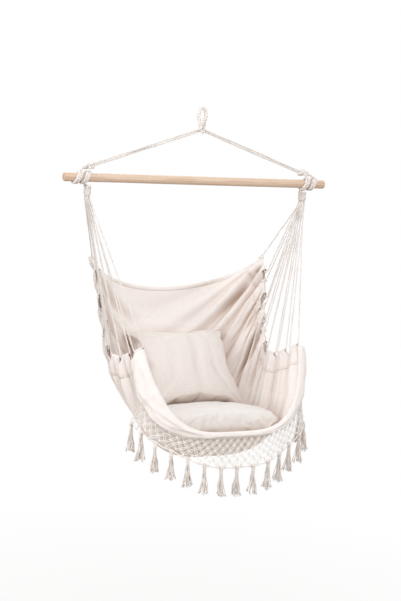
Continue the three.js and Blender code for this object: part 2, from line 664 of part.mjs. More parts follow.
const hemHalf = SKIRT_HEM_SHARES.map(([x, y, z]) => new THREE.Vector3(
  x * SKIRT_HALF_WIDTH, y * SKIRT_DEPTH - SKIRT_FRONT_REACH, BAR_Z - SKIRT_DROP + z * SKIRT_RISE));
const hemCurve = new THREE.CatmullRomCurve3([
  ...hemHalf.map((p) => p.clone().setX(-p.x)),
  ...hemHalf.slice(0, -1).reverse(),
], false, 'centripetal');
const tasselPlaces = Array.from({ length: TASSELS }, (_, k) => {
  const share = k / (TASSELS - 1);
  return { at: hemCurve.getPointAt(share), along: hemCurve.getTangentAt(share) };
});
const headHalf = TASSEL_HEAD_WIDTH / 2 + TOUCH_GAP;
const hemPoints = tasselPlaces.flatMap(({ at, along }) => [
  at.clone().addScaledVector(along, -headHalf),
  at.clone().addScaledVector(along, headHalf),
]);
const hemPath = straightPath(hemPoints);
addPiece('skirt_hem_cord', rope(hemPoints, SKIRT_RADIUS, LOOP_SIDES), macrameFinish);

// The net is a lattice of knots joined by cords, each knot a small square whose sides face its four cords.
function skirtSurface(along, down) {
  const edge = (1 - SKIRT_TOP_SHARE) / 2;
  const top = headerPath.getPoint(edge + SKIRT_TOP_SHARE * along);
  const foot = hemPath.getPoint(along);
  const sideways = (2 * along - 1) ** 3;
  const bulge = SKIRT_BULGE * Math.sin(Math.PI * Math.sqrt(down));
  const place = top.lerp(foot, down);
  place.x += sideways * bulge;
  return place;
}

const netSteps = 2 * NET_ROWS;
const netColumns = 2 * NET_COLUMNS;

// How far a piece has to stand from a cord along the skirt, so that it stands that far off it squarely
function slantedRoom(path, share, run, room) {
  const cord = path.getTangent(THREE.MathUtils.clamp(share, 0, 1));
  return room / cord.cross(run).length();
}

// The lowest knots lie on the hem cord, but those over a tassel clear its head as it swings.
function hemRoom(foot) {
  const nearest = Math.min(...tasselPlaces.map(({ at }) => at.distanceTo(foot)));
  const headReach = (TASSEL_HEAD_WIDTH + NET_KNOT_WIDTH) / 2 + SOFT_GAP;
  const below = nearest < headReach ? TASSEL_HEAD_REACH : SKIRT_RADIUS;
  return below + TOUCH_GAP + NET_KNOT_WIDTH / 2;
}

function knotCentre(row, column) {
  const along = column / netColumns;
  const top = skirtSurface(along, 0);
  const foot = skirtSurface(along, 1);
  const height = foot.distanceTo(top);
  const run = foot.clone().sub(top).normalize();
  const topRoom = SKIRT_RADIUS + 2 * SOFT_GAP + NET_KNOT_WIDTH / 2;
  const from = slantedRoom(headerPath, along, run, topRoom) / height;
  const to = 1 - slantedRoom(hemPath, along, run, hemRoom(foot)) / height;
  return skirtSurface(along, from + ((to - from) * row) / netSteps);
}

function knotFrame(row, column) {
  const before = knotCentre(row, Math.max(column - 1, 0));
  const after = knotCentre(row, Math.min(column + 1, netColumns));
  const right = after.sub(before).normalize();
  const down = skirtSurface(column / netColumns, 1).sub(skirtSurface(column / netColumns, 0)).normalize();
  const out = down.clone().cross(right).normalize();
  return { centre: knotCentre(row, column), right, down: right.clone().cross(out), out };
}

function netPart(fromColumn, toColumn) {
  const points = [];
  const faces = [];
  const knots = new Map();
  const key = (row, column) => `${row} ${column}`;
  for (let row = 0; row <= netSteps; row += 1) {
    for (let column = fromColumn; column <= toColumn; column += 1) {
      if ((row + column) % 2 === 1) {
        const { centre, right, down, out } = knotFrame(row, column);
        const inward = column === fromColumn ? NET_KNOT_WIDTH / 2 : column === toColumn ? -NET_KNOT_WIDTH / 2 : 0;
        centre.addScaledVector(right, inward);
        const half = NET_KNOT_WIDTH / 2;
        const first = points.length;
        const corners = [[right, 1], [down, 1], [right, -1], [down, -1]];
        for (const depth of [NET_CORD_DEPTH / 2, -NET_CORD_DEPTH / 2]) {
          for (const [axis, sign] of corners) {
            points.push(centre.clone().addScaledVector(axis, sign * half).addScaledVector(out, depth));
          }
        }
        knots.set(key(row, column), first);
        faces.push(first, first + 2, first + 1, first, first + 3, first + 2);
        faces.push(first + 4, first + 5, first + 6, first + 4, first + 6, first + 7);
      }
    }
  }
  const quad = (a, b, c, d) => faces.push(a, b, c, a, c, d);
  // Each side of a knot runs from corner k to corner k + 1: right to down, down to left, left to up, up to right.
  const reach = [[1, 1], [1, -1], [-1, -1], [-1, 1]];
  const corners = reach.length;
  for (const [name, first] of knots) {
    const [row, column] = name.split(' ').map(Number);
    reach.forEach(([rows, columns], k) => {
      const a = first + k;
      const b = first + ((k + 1) % corners);
      const other = knots.get(key(row + rows, column + columns));
      if (other === undefined) {
        quad(a, b, b + corners, a + corners);
      } else if (rows > 0) {
        const far = (k + 2) % corners;
        const c = other + far;
        const d = other + ((far + 1) % corners);
        quad(a, b, c, d);
        quad(b + corners, a + corners, d + corners, c + corners);
        quad(b, b + corners, c + corners, c);
        quad(a + corners, a, d, d + corners);
      }
    });
  }
  const geometry = new THREE.BufferGeometry();
  geometry.setAttribute('position', new THREE.Float32BufferAttribute(points.flatMap((p) => p.toArray()), 3));
  geometry.setIndex(faces);
  return geometry;
}

const netThird = 2 * Math.round((NET_SIDE_SHARE * netColumns) / 2);
addPiece('skirt_net_left', netPart(1, netThird), macrameFinish);
addPiece('skirt_net_front', netPart(netThird, netColumns - netThird), macrameFinish);
addPiece('skirt_net_right', netPart(netColumns - netThird, netColumns - 1), macrameFinish);

// Cords down the skirt's two ends
for (const [name, side] of SIDES) {
  const end = side < 0 ? 0 : 1;
  const top = skirtSurface(end, 0);
  const bend = skirtSurface(end, 1 / netSteps);
  const run = bend.clone().sub(top).normalize();
  const lean = Math.abs(headerPath.getTangent(end).dot(run));
  const topRoom = slantedRoom(headerPath, end, run, SKIRT_RADIUS * (1 + lean) + 2 * TOUCH_GAP);
  const footShare = 1 - (TASSEL_HEAD_REACH + SKIRT_RADIUS) / skirtSurface(end, 1).distanceTo(top);
  const forward = new THREE.Vector3(0, -END_CORD_STANDOFF, 0);
  const places = [top.addScaledVector(run, topRoom).add(forward), bend.add(forward)];
  for (let k = 2; k < netSteps; k += 1) places.push(skirtSurface(end, k / netSteps));
  places.push(skirtSurface(end, footShare));
  addPiece(`skirt_end_cord_${name}`, rope(places, SKIRT_RADIUS, LOOP_SIDES), macrameFinish);
}

// Tassels, each knotted round the hem cord
function tassel({ at, along }) {
  const head = TASSEL_HEAD_SHARES.map(([width, drop]) => new THREE.Vector2(
    (width * TASSEL_HEAD_WIDTH) / 2, -drop * TASSEL_LENGTH));
  const strands = TASSEL_FOOT_SHARES.map(([width, drop]) => new THREE.Vector2(
    (width * TASSEL_FOOT_WIDTH) / 2, -drop * TASSEL_LENGTH));
  const outline = [...head, ...strands];
  const body = new THREE.LatheGeometry([
    new THREE.Vector2(0, 0),
    ...outline,
    new THREE.Vector2(0, -TASSEL_LENGTH),
  ].reverse(), TASSEL_SIDES);
  body.rotateX(Math.PI / 2);
  body.translate(at.x, at.y, at.z + TASSEL_HEAD_RISE);
  const boreRadius = (SKIRT_RADIUS + TASSEL_CORD_CLEARANCE) / Math.cos(Math.PI / LOOP_SIDES);
  const bore = rope([
    at.clone().addScaledVector(along, -TASSEL_HEAD_WIDTH),
    at.clone().addScaledVector(along, TASSEL_HEAD_WIDTH),
  ], boreRadius, LOOP_SIDES);
  return geometryOf(solidOf(body).subtract(solidOf(bore)));
}
tasselPlaces.forEach((place, k) => {
  addPiece(`tassel_${String(k + 1).padStart(2, '0')}`, tassel(place), macrameFinish);
});

export default chair;
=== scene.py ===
"""A hammock chair in a plain studio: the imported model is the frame, and every piece here rides on it."""
import math
import random

import bpy
import numpy as np
from mathutils import Matrix, Vector
from mathutils.bvhtree import BVHTree


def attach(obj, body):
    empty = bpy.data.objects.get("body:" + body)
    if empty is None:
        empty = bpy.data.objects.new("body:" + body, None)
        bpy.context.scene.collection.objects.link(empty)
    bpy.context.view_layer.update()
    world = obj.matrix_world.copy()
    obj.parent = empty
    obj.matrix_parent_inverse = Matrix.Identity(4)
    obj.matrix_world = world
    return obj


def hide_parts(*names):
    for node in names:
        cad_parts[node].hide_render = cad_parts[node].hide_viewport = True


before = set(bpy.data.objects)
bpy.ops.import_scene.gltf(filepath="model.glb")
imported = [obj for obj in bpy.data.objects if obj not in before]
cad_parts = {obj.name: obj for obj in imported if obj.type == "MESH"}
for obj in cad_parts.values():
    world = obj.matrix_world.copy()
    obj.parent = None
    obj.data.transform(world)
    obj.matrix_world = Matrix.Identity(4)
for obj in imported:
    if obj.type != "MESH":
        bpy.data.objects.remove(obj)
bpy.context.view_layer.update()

# Lengths are in millimetres up to the point where a mesh is made
MM = 0.001
FULL_TURN = 2 * math.pi
SIDES = (("left", -1), ("right", 1))
UP = np.array([0, 0, 1.0])

# Camera: the photograph's place and direction
CAMERA_DISTANCE = 5026
CAMERA_AZIMUTH = -25.6
CAMERA_HEIGHT = -40
CAMERA_PITCH = 7.1
CAMERA_ROLL = 2.91
CAMERA_AIM = -0.3
CAMERA_REACH_M = 60
FOCAL_PIXELS = 1441
FRAME_HEIGHT_PIXELS = 601
SENSOR = 36

# Sizes that the frame has too
BAR_LENGTH = 1000
BAR_RADIUS = 15
BAR_Z = -247
EYE_ROPE_DIAMETER = 13
EYE_INNER_WIDTH = 15
EYE_INNER_HEIGHT = 42
EYE_NECK_RADIUS = 14.5
EYE_NECK_HEIGHT = 24
EYE_NECK_FOOT_Z = -63
EYE_KNOT_Z = -70
EYE_KNOT_RADIUS = 14
YOKE_ROPE_RADIUS = 3.1
YOKE_KNOT_X = 414
YOKE_KNOT_HALF_WIDTH = 21
YOKE_TURN_X = 450
HITCH_X = 422
BAND_WIDTH = 21
BAND_SLANT = 10
BAND_INNER_RADIUS = 15.5
BAND_OUTER_RADIUS = 23.4
YOKE_KNOT_Z = BAR_Z + BAND_OUTER_RADIUS + 13.35
FIT_GAP = 0.35
GATHER_X = 414
GATHER_WIDTH = 17
GATHER_DEPTH = 41
GATHER_HEIGHT = 36
GATHER_TOP_Z = BAR_Z - BAND_OUTER_RADIUS - FIT_GAP
GATHER_FOOT_Z = GATHER_TOP_Z - GATHER_HEIGHT
GATHER_SHARES = ((0.84, 0), (1, 0.16), (0.92, 0.42), (0.98, 0.7), (0.9, 1))
CORD_RADIUS = 2.25
CORD_SPACING = 5.2
CORD_TURN_LENGTH = 7.2
CORD_BOUND_LENGTH = 9
SLEEVE_DIAMETER = 12
TABS = 7


# Points and paths
def unit(v):
    return v / np.maximum(np.linalg.norm(v, axis=-1, keepdims=True), 1e-9)


def turns_of(count):
    """Even angles once round."""
    return np.linspace(0, FULL_TURN, count, endpoint=False)


class Path:
    """A line through points, read at a share of its length."""

    def __init__(self, points):
        self.points = np.asarray(points, float)
        gaps = np.linalg.norm(np.diff(self.points, axis=0), axis=1)
        self.along = np.concatenate([[0], np.cumsum(gaps)])
        self.length = self.along[-1]

    def at(self, share):
        wanted = np.clip(np.asarray(share, float), 0, 1) * self.length
        return np.stack([np.interp(wanted, self.along, self.points[:, k]) for k in range(3)], axis=-1)

    def heading(self, share, step):
        """The direction of the path between two places that lie a step before and after the share."""
        return unit(self.at(min(1, share + step)) - self.at(max(0, share - step)))


def resampled(points, step):
    """The same path with points an even step apart."""
    path = Path(points)
    return path.at(np.linspace(0, 1, max(2, int(round(path.length / step)) + 1)))


def smoothed(points, rounds):
    """The points with their corners eased, and the first and the last kept."""
    points = np.array(points, float)
    for _ in range(rounds):
        points[1:-1] = (points[:-2] + 2 * points[1:-1] + points[2:]) / 4
    return points


def closed_ring(points, count=400):
    """The same ring with its points at even steps."""
    return Path(np.concatenate([points, points[:1]])).at(np.linspace(0, 1, count, endpoint=False))


def eased_ring(points):
    return (np.roll(points, 1, axis=0) + 2 * points + np.roll(points, -1, axis=0)) / 4


def eased_curve(points, count=1600):
    """A centripetal Catmull-Rom curve through the points, with the same number of points in each span."""
    points = np.asarray(points, float)
    ends = np.concatenate([[2 * points[0] - points[1]], points, [2 * points[-1] - points[-2]]])
    out = []
    spans = len(points) - 1
    for i in range(spans):
        p0, p1, p2, p3 = ends[i:i + 4]
        d0, d1, d2 = (np.linalg.norm(b - a) ** 0.5 for a, b in ((p0, p1), (p1, p2), (p2, p3)))
        t1 = ((p1 - p0) / d0 - (p2 - p0) / (d0 + d1) + (p2 - p1) / d1) * d1
        t2 = ((p2 - p1) / d1 - (p3 - p1) / (d1 + d2) + (p3 - p2) / d2) * d1
        square, cube = -3 * p1 + 3 * p2 - 2 * t1 - t2, 2 * p1 - 2 * p2 + t1 + t2
        t = np.linspace(0, 1, count // spans, endpoint=i == spans - 1)[:, None]
        out.append(p1 + t1 * t + square * t ** 2 + cube * t ** 3)
    return np.concatenate(out)


def eased_corners(points, bend, steps=8):
    """Straight runs through the points, with each corner rounded off."""
    points = [np.asarray(p, float) for p in points]
    path = [points[0]]
    for before, corner, after in zip(points, points[1:], points[2:]):
        back, on = before - corner, after - corner
        reach = min(bend, np.linalg.norm(back) / 2, np.linalg.norm(on) / 2)
        start, end = corner + unit(back) * reach, corner + unit(on) * reach
        for t in np.linspace(0, 1, steps):
            path.append(start * (1 - t) ** 2 + corner * 2 * t * (1 - t) + end * t ** 2)
    return path + [points[-1]]


def frames_along(points, closed=False):
    """A direction and two sideways directions at each point, turned as little as the path allows."""
    if closed:
        along = unit(np.roll(points, -1, axis=0) - np.roll(points, 1, axis=0))
    else:
        along = unit(np.gradient(points, axis=0))
    start = UP if abs(along[0][2]) < 0.9 else np.array([1.0, 0, 0])
    across = unit(np.cross(start, along[0]))
    rows = []
    for direction in along:
        across = unit(across - direction * np.dot(across, direction))
        rows.append(across)
    across = np.array(rows)
    if closed:
        end = unit(rows[-1] - along[0] * np.dot(rows[-1], along[0]))
        turn = math.atan2(np.dot(np.cross(end, rows[0]), along[0]), np.dot(end, rows[0]))
        shares = np.linspace(0, turn, len(points), endpoint=False)[:, None]
        across = across * np.cos(shares) + np.cross(along, across) * np.sin(shares)
    return along, across, np.cross(along, across)


# Surfaces, tubes and ropes
def grid_faces(rows, columns, around=False, ring=False, flip=False):
    """Faces of a grid of points; around joins its last column to its first, and ring its last row."""
    faces = []
    for i in range(rows if ring else rows - 1):
        here, there = i * columns, (i + 1) % rows * columns
        for j in range(columns if around else columns - 1):
            k = (j + 1) % columns
            face = (here + j, there + j, there + k, here + k)
            faces.append((face[0], *face[:0:-1]) if flip else face)
    return faces


def end_caps(rows, columns):
    first = tuple(range(columns))
    return [first[::-1], tuple((rows - 1) * columns + j for j in first)]


def tube(points, radius, sides=8, closed=False):
    """Points and faces of a round tube; radius is one number or one for each point."""
    points = np.asarray(points, float)
    _, across, up = frames_along(points, closed)
    radius = np.broadcast_to(np.asarray(radius, float), (len(points),))
    angles = turns_of(sides)[None, :, None]
    ring = across[:, None] * np.cos(angles) + up[:, None] * np.sin(angles)
    mesh = (points[:, None] + ring * radius[:, None, None]).reshape(-1, 3)
    faces = grid_faces(len(points), sides, around=True, ring=closed, flip=True)
    return mesh, faces if closed else faces + end_caps(len(points), sides)


def oval_ball(center, right, out, fall, rows, columns):
    """Points and faces of an oval ball; its three half sizes are the lengths of the directions."""
    points = []
    for tilt in np.linspace(0, math.pi, rows + 1):
        for turn in turns_of(columns):
            level = right * math.cos(turn) + out * math.sin(turn)
            points.append(center + level * math.sin(tilt) + fall * math.cos(tilt))
    return points, grid_faces(rows + 1, columns, around=True)


def winding(center, radii, top, foot, turns, per_turn=28):
    """A path wound round an upright oval from top to foot; radii gives its two half widths at a share."""
    path = []
    for share in np.linspace(0, 1, int(turns * per_turn) + 1):
        angle = FULL_TURN * turns * share
        a, b = radii(share)
        path.append((center[0] + a * math.cos(angle), center[1] + b * math.sin(angle),
                     top + (foot - top) * share))
    return path


STRAND_SWELL = 1.08


def laid_strands(points, radius, strands, pitch, phase=0.0, closed=False):
    """The paths of the strands that are laid up into a rope of that radius, and one strand's radius."""
    points = np.asarray(points, float)
    _, across, up = frames_along(points, closed)
    follow = np.roll(points, -1, axis=0) if closed else points[1:]
    gaps = np.linalg.norm(follow - points[:len(follow)], axis=1)
    length = gaps.sum()
    along = np.concatenate([[0], np.cumsum(gaps)])[:len(points)]
    turns = max(1, round(length / pitch)) if closed else length / pitch
    strand = radius / (1 + 1 / math.sin(math.pi / strands)) * STRAND_SWELL
    paths = []
    for k in range(strands):
        angle = FULL_TURN * (turns * along / length + k / strands) + phase
        off = across * np.cos(angle)[:, None] + up * np.sin(angle)[:, None]
        paths.append(points + (radius - strand) * off)
    return paths, strand


def added(name, data):
    obj = bpy.data.objects.new(name, data)
    bpy.context.scene.collection.objects.link(obj)
    return obj


def dressed(obj, material, body, replaces=()):
    """The object, smooth and in its material, on its body, in place of the frame's nodes."""
    mesh = obj.data
    mesh.polygons.foreach_set("use_smooth", [True] * len(mesh.polygons))
    mesh.materials.clear()
    mesh.materials.append(material)
    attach(obj, body)
    if replaces:
        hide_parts(*replaces)
    return obj


class Bundle:
    """The tubes and surfaces that make one piece."""

    def __init__(self):
        self.points = []
        self.faces = []
        self.count = 0

    def add(self, points, faces):
        self.points.append(np.asarray(points, float))
        self.faces += [tuple(self.count + i for i in face) for face in faces]
        self.count += len(points)
        return self

    def sheet(self, rows):
        """A surface through rows of points."""
        rows = np.array(rows)
        return self.add(rows.reshape(-1, 3), grid_faces(*rows.shape[:2]))

    def tube(self, points, radius, sides=8, closed=False):
        return self.add(*tube(points, radius, sides, closed))

    def rope(self, points, radius, strands=3, pitch=30, sides=7, step=4, phase=0.0, closed=False):
        path = np.asarray(points, float) if closed else resampled(points, step)
        paths, strand = laid_strands(path, radius, strands, pitch, phase, closed)
        for one in paths:
            self.tube(one, strand, sides, closed)
        return self

    def piece(self, name, material, body, slot, replaces=()):
        mesh = bpy.data.meshes.new(name)
        mesh.from_pydata((np.concatenate(self.points) * MM).tolist(), [], self.faces)
        mesh.update()
        return dressed(added(name, mesh), material, body, replaces)


def applied(obj):
    """The object with its modifiers turned into its mesh."""
    bpy.context.view_layer.update()
    graph = bpy.context.evaluated_depsgraph_get()
    mesh = bpy.data.meshes.new_from_object(obj.evaluated_get(graph))
    materials = list(obj.data.materials)
    obj.modifiers.clear()
    obj.data = mesh
    mesh.materials.clear()
    for material in materials:
        mesh.materials.append(material)
    return obj


def thickened(obj, thickness):
    solid = obj.modifiers.new("thickness", "SOLIDIFY")
    solid.thickness = thickness * MM
    solid.offset = 0
    solid.use_even_offset = False
    return applied(obj)


# Materials: all of them are built from nodes, in object coordinates
class Nodes:
    """A node tree that is filled by one call for each node."""

    def __init__(self, tree):
        self.nodes = tree.nodes
        self.links = tree.links

    def feed(self, socket, value):
        """A link from a socket, or a plain value; a colour may leave out its alpha."""
        if isinstance(value, bpy.types.NodeSocket):
            self.links.new(value, socket)
        elif socket.type == "RGBA" and len(value) == 3:
            socket.default_value = (*value, 1)
        else:
            socket.default_value = value

    def node(self, kind, inputs=None, **settings):
        made = self.nodes.new(kind)
        for key, value in settings.items():
            setattr(made, key, value)
        for key, value in (inputs or {}).items():
            self.feed(made.inputs[key], value)
        return made

    def math(self, operation, first, second=0.0):
        return self.node("ShaderNodeMath", {0: first, 1: second}, operation=operation).outputs[0]

    def scaled(self, first, factor):
        return self.math("MULTIPLY", first, factor)

    def seen_directly(self):
        """1 for a ray from the camera, a mirror or glass, and 0 for light that falls on things."""
        path = self.node("ShaderNodeLightPath").outputs
        past = self.math("MAXIMUM", path["Is Glossy Ray"], path["Is Transmission Ray"])
        return self.math("MAXIMUM", path["Is Camera Ray"], past)


class Shader(Nodes):
    """A material's nodes."""

    def __init__(self, name):
        self.material = bpy.data.materials.new(name)
        self.material.use_nodes = True
        super().__init__(self.material.node_tree)
        self.shader = self.nodes["Principled BSDF"]
        self.place = self.nodes.new("ShaderNodeTexCoord").outputs["Object"]

    def stretched(self, scale):
        return self.node("ShaderNodeMapping", {"Vector": self.place, "Scale": scale}).outputs[0]

    def noise(self, scale, detail=3, roughness=0.5, vector=None, distortion=0.0):
        return self.node("ShaderNodeTexNoise", {
            "Vector": vector or self.place, "Scale": scale, "Detail": detail, "Roughness": roughness,
            "Distortion": distortion}).outputs["Fac"]

    def wave(self, scale, direction, vector=None, distortion=0.0, detail=0.0, detail_scale=1.0):
        return self.node("ShaderNodeTexWave", {
            "Vector": vector or self.place, "Scale": scale, "Distortion": distortion, "Detail": detail,
            "Detail Scale": detail_scale}, wave_type="BANDS", bands_direction=direction).outputs["Fac"]

    def ramp(self, value, stops):
        ramp = self.node("ShaderNodeValToRGB", {"Fac": value})
        band = ramp.color_ramp
        while len(band.elements) < len(stops):
            band.elements.new(0.5)
        for element, (where, color) in zip(band.elements, stops):
            element.position = where
            element.color = (*color, 1)
        return ramp.outputs["Color"]

    def mix(self, share, first, second):
        inputs = {"Factor": share, 6: first, 7: second}
        return self.node("ShaderNodeMix", inputs, data_type="RGBA", blend_type="MIX").outputs[2]

    def shaded(self, reach, least, most, share, own_only=False):
        """How much painted shade (ambient occlusion) a place gets from what stands round it: 0 in the open,
        up to the share in a crease.
        """
        near = self.node("ShaderNodeAmbientOcclusion", {"Distance": reach * MM}, samples=6,
                         only_local=own_only)
        depth = self.math("SUBTRACT", 1.0, near.outputs["AO"])
        return self.node("ShaderNodeMapRange", {"Value": depth, "From Min": least, "From Max": most,
                                                "To Max": share}).outputs["Result"]

    def bump(self, height, strength, distance, normal=None):
        inputs = {"Height": height, "Strength": strength, "Distance": distance}
        if normal is not None:
            inputs["Normal"] = normal
        return self.node("ShaderNodeBump", inputs).outputs["Normal"]

    def done(self, color, roughness, normal=None, sheen=0.0, specular=0.5):
        values = {"Base Color": color, "Roughness": roughness, "Sheen Weight": sheen,
                  "Sheen Tint": (1, 1, 1), "Specular IOR Level": specular}
        if normal is not None:
            values["Normal"] = normal
        for key, value in values.items():
            self.feed(self.shader.inputs[key], value)
        return self.material


def srgb(code):
    """The linear colour of a hexadecimal one."""
    values = [int(code[i:i + 2], 16) / 255 for i in (0, 2, 4)]
    return tuple(v / 12.92 if v <= 0.04045 else ((v + 0.055) / 1.055) ** 2.4 for v in values)


def wood_material():
    """Pine: long rings and fibres along the bar, with darker end grain."""
    s = Shader("pine wood")
    rings = s.wave(2.2, "Y", s.stretched((1.6, 34, 34)), distortion=5.5, detail=3, detail_scale=1.4)
    fibre = s.noise(60, 5, 0.6, s.stretched((0.55, 26, 26)))
    blotch = s.noise(5, 2, 0.5, s.stretched((1, 3, 3)))
    color = s.ramp(rings, [(0.0, srgb("DAC1AB")), (0.55, srgb("E2CBB7")), (1.0, srgb("CCAE95"))])
    color = s.mix(s.scaled(fibre, 0.35), color, srgb("C0A086"))
    color = s.mix(s.scaled(blotch, 0.22), color, srgb("E8D9CA"))
    across = s.node("ShaderNodeSeparateXYZ", {0: s.place}).outputs["X"]
    stops = [(0.44, (0, 0, 0)), (0.499, (0.5, 0.5, 0.5)), (0.5, (1, 1, 1))]
    near_end = s.ramp(s.math("ABSOLUTE", across), stops)
    end_share = s.scaled(near_end, s.math("ADD", 0.35, s.scaled(blotch, 0.6)))
    color = s.mix(end_share, color, srgb("BF9D84"))
    rough = s.math("ADD", 0.42, s.scaled(fibre, 0.2))
    normal = s.bump(fibre, 0.25, 0.0006, s.bump(rings, 0.12, 0.0006))
    return s.done(color, rough, normal, specular=0.35)


# Painted shade: ambient occlusion mixes these darker colours in between cord strands and in cloth creases
STRAND_SHADE_REACH = 4
STRAND_SHADE_COLOR = "AD9C90"
CREASE_SHADE_REACH = 85
CREASE_SHADE_COLOR = "B5957B"
WAVES_PER_SCALE = 6.283


def fibre_material(name, light, dark, strength=0.45, scale=420, strand_shade_share=0.6):
    """Cotton cord: matt, slightly fuzzy, and with painted shade in the grooves between its strands."""
    s = Shader(name)
    fine = s.noise(scale, 4, 0.65)
    broad = s.noise(24, 3, 0.55)
    shade = s.scaled(s.math("ADD", fine, broad), 0.5)
    color = s.ramp(shade, [(0.3, srgb(dark)), (0.52, srgb(light)), (0.8, srgb(light))])
    # Painted shade: a grey-brown mixed in by ambient occlusion where the strands lie close
    color = s.mix(s.shaded(STRAND_SHADE_REACH, 0.12, 0.8, strand_shade_share, True), color, srgb(STRAND_SHADE_COLOR))
    rough = s.math("ADD", 0.78, s.scaled(fine, 0.2))
    return s.done(color, rough, s.bump(fine, strength, 0.0007), sheen=0.25, specular=0.2)


def cloth_material(name, light, dark, fleck, thread=900, bump=0.5, crease_shade_share=0.72):
    """Plain weave: threads over and under in two directions, with slubs and soft blotches, and painted shade
    in its creases.
    """
    s = Shader(name)
    slub_a, slub_b = (s.noise(46, 4, 0.6, s.stretched(scale)) for scale in ((1, 0.12, 12), (12, 0.12, 1)))
    warp, weft, depth = (s.wave(thread / WAVES_PER_SCALE, way, distortion=0.6) for way in "XZY")
    weave = s.scaled(s.math("ADD", s.math("ADD", warp, weft), depth), 0.333)
    slubs = s.scaled(s.math("ADD", slub_a, slub_b), 0.5)
    blotch = s.noise(7, 3, 0.55)
    color = s.ramp(slubs, [(0.32, srgb(dark)), (0.5, srgb(light)), (0.75, srgb(light))])
    color = s.mix(s.scaled(blotch, 0.3), color, srgb(fleck))
    color = s.mix(s.scaled(weave, 0.12), color, srgb(dark))
    # Painted shade: a tan mixed in by ambient occlusion in folds, creases and close to other parts
    color = s.mix(s.shaded(CREASE_SHADE_REACH, 0.11, 0.78, crease_shade_share), color, srgb(CREASE_SHADE_COLOR))
    rough = s.math("ADD", 0.8, s.scaled(slubs, 0.15))
    wrinkle = s.noise(38, 4, 0.55, distortion=0.6)
    normal = s.bump(weave, bump, 0.0005, s.bump(slubs, 0.3, 0.0008, s.bump(wrinkle, 0.22, 0.004)))
    return s.done(color, rough, normal, sheen=0.2, specular=0.15)


# The last numbers of some materials set how much painted shade they get between strands or in creases
cushion_weave = {"thread": 1100, "bump": 0.35, "crease_shade_share": 0.5}
wood = wood_material()
rope_cotton = fibre_material("rope cotton", "F0EBE8", "DAD2CD", strength=0.3)
cord_cotton = fibre_material("seat cord cotton", "EEE9E6", "D5CDC8", strength=0.3, scale=600)
macrame_cotton = fibre_material("macrame cotton", "FAF6F2", "E9E1DA", scale=520, strand_shade_share=0.12)
tassel_cotton = fibre_material("tassel cotton", "F3ECE7", "D8CBC3", strength=0.5, scale=700,
                               strand_shade_share=0.45)
canvas_cloth = cloth_material("cotton canvas", "F0E9E6", "E3DAD5", "F4EFEC")
cushion_cloth = cloth_material("cushion cotton", "E1D9D4", "D4CAC4", "E6DFDB", **cushion_weave)
seat_cloth = cloth_material("seat cushion cotton", "E0DAD6", "D4CCC7", "E6E2DE", **cushion_weave)
thread_cotton = fibre_material("sewing thread", "DED4CF", "CBC0BA", scale=900)


# Bar: turned from one length, its ends rounded over
BAR_EASE = 3.5
BAR_EASE_FROM = 0.15
BAR_END_LENGTH = 30
BAR_UNEVEN = 0.12
BAR_UNEVEN_LENGTH = 90
BAR_TIP = 0.02
BAR_SIDES = 72


def spreader_bar():
    half = BAR_LENGTH / 2
    end = [(-half, 0.0), (-half, BAR_RADIUS - BAR_EASE)]
    end += [(-half + BAR_EASE * (1 - math.cos(a)), BAR_RADIUS - BAR_EASE * (1 - math.sin(a)))
            for a in np.linspace(BAR_EASE_FROM, math.pi / 2, 6)]
    middle = [(x, BAR_RADIUS) for x in np.linspace(BAR_END_LENGTH - half, half - BAR_END_LENGTH, 31)]
    profile = end + middle + [(-x, radius) for x, radius in reversed(end)]
    points = []
    for x, radius in profile:
        for angle in turns_of(BAR_SIDES):
            uneven = BAR_UNEVEN * math.sin(3 * angle + x / BAR_UNEVEN_LENGTH) if radius > BAR_EASE else 0
            reach = max(radius + uneven, BAR_TIP)
            points.append((x, reach * math.cos(angle), BAR_Z + reach * math.sin(angle)))
    bar = Bundle().add(points, grid_faces(len(profile), BAR_SIDES, around=True))
    bar.piece("wooden_bar", wood, "yoke", "wood", ("spreader_bar",))


# Hanging eye: a laid rope bent back on itself, its legs whipped together over the knot
EYE_ROPE_SWELL = 0.7
EYE_LOOP_SHARE = 0.94
EYE_TURN_RADIUS = 2.0
EYE_TURNS = 6
EYE_CORE_SHARE = 0.84


def eye_point(share):
    angle = math.pi * (2 * share - 1)
    half_width = (EYE_INNER_WIDTH + EYE_ROPE_DIAMETER) / 2
    height = EYE_INNER_HEIGHT + EYE_ROPE_DIAMETER / 2
    return (half_width * math.sin(angle * EYE_LOOP_SHARE), 0,
            EYE_ROPE_DIAMETER / 2 - height * (1 - math.cos(angle)) / 2)


def hanging_eye():
    eye = Bundle()
    loop = [eye_point(share) for share in np.linspace(0.03, 0.97, 61)]
    eye.rope(loop, EYE_ROPE_DIAMETER / 2 + EYE_ROPE_SWELL, pitch=34, sides=10, step=1.6)
    reach = EYE_NECK_RADIUS - EYE_TURN_RADIUS

    def radii(share):
        bulge = 0.82 + 0.18 * math.sin(math.pi * min(1, 0.25 + 0.8 * share))
        return reach * bulge, reach * bulge * 0.96

    top = EYE_NECK_FOOT_Z + EYE_NECK_HEIGHT - EYE_TURN_RADIUS
    foot = EYE_NECK_FOOT_Z + EYE_TURN_RADIUS
    eye.tube(winding((0, 0), radii, top, foot, EYE_TURNS), EYE_TURN_RADIUS, 6)
    core = [(0, 0, top + 1), (0, 0, foot - 0.5)]
    eye.tube(resampled(core, 4), reach * EYE_CORE_SHARE, 16)
    eye.piece("rope_eye", rope_cotton, "eye", "rope", ("hanging_eye",))


# Knots: each is a closed overhand knot, turned to fill an oval ball, round a plain core
EYE_KNOT_ROPE = 4.6
EYE_KNOT_TURN = 0.5
BAR_KNOT_HALF = (23, 17, 14.5)
BAR_KNOT_LIFT = 1.9
BAR_KNOT_ROPE = 5.8
BAR_KNOT_TURN = 0.9
KNOT_CORE_SHARE = 0.62


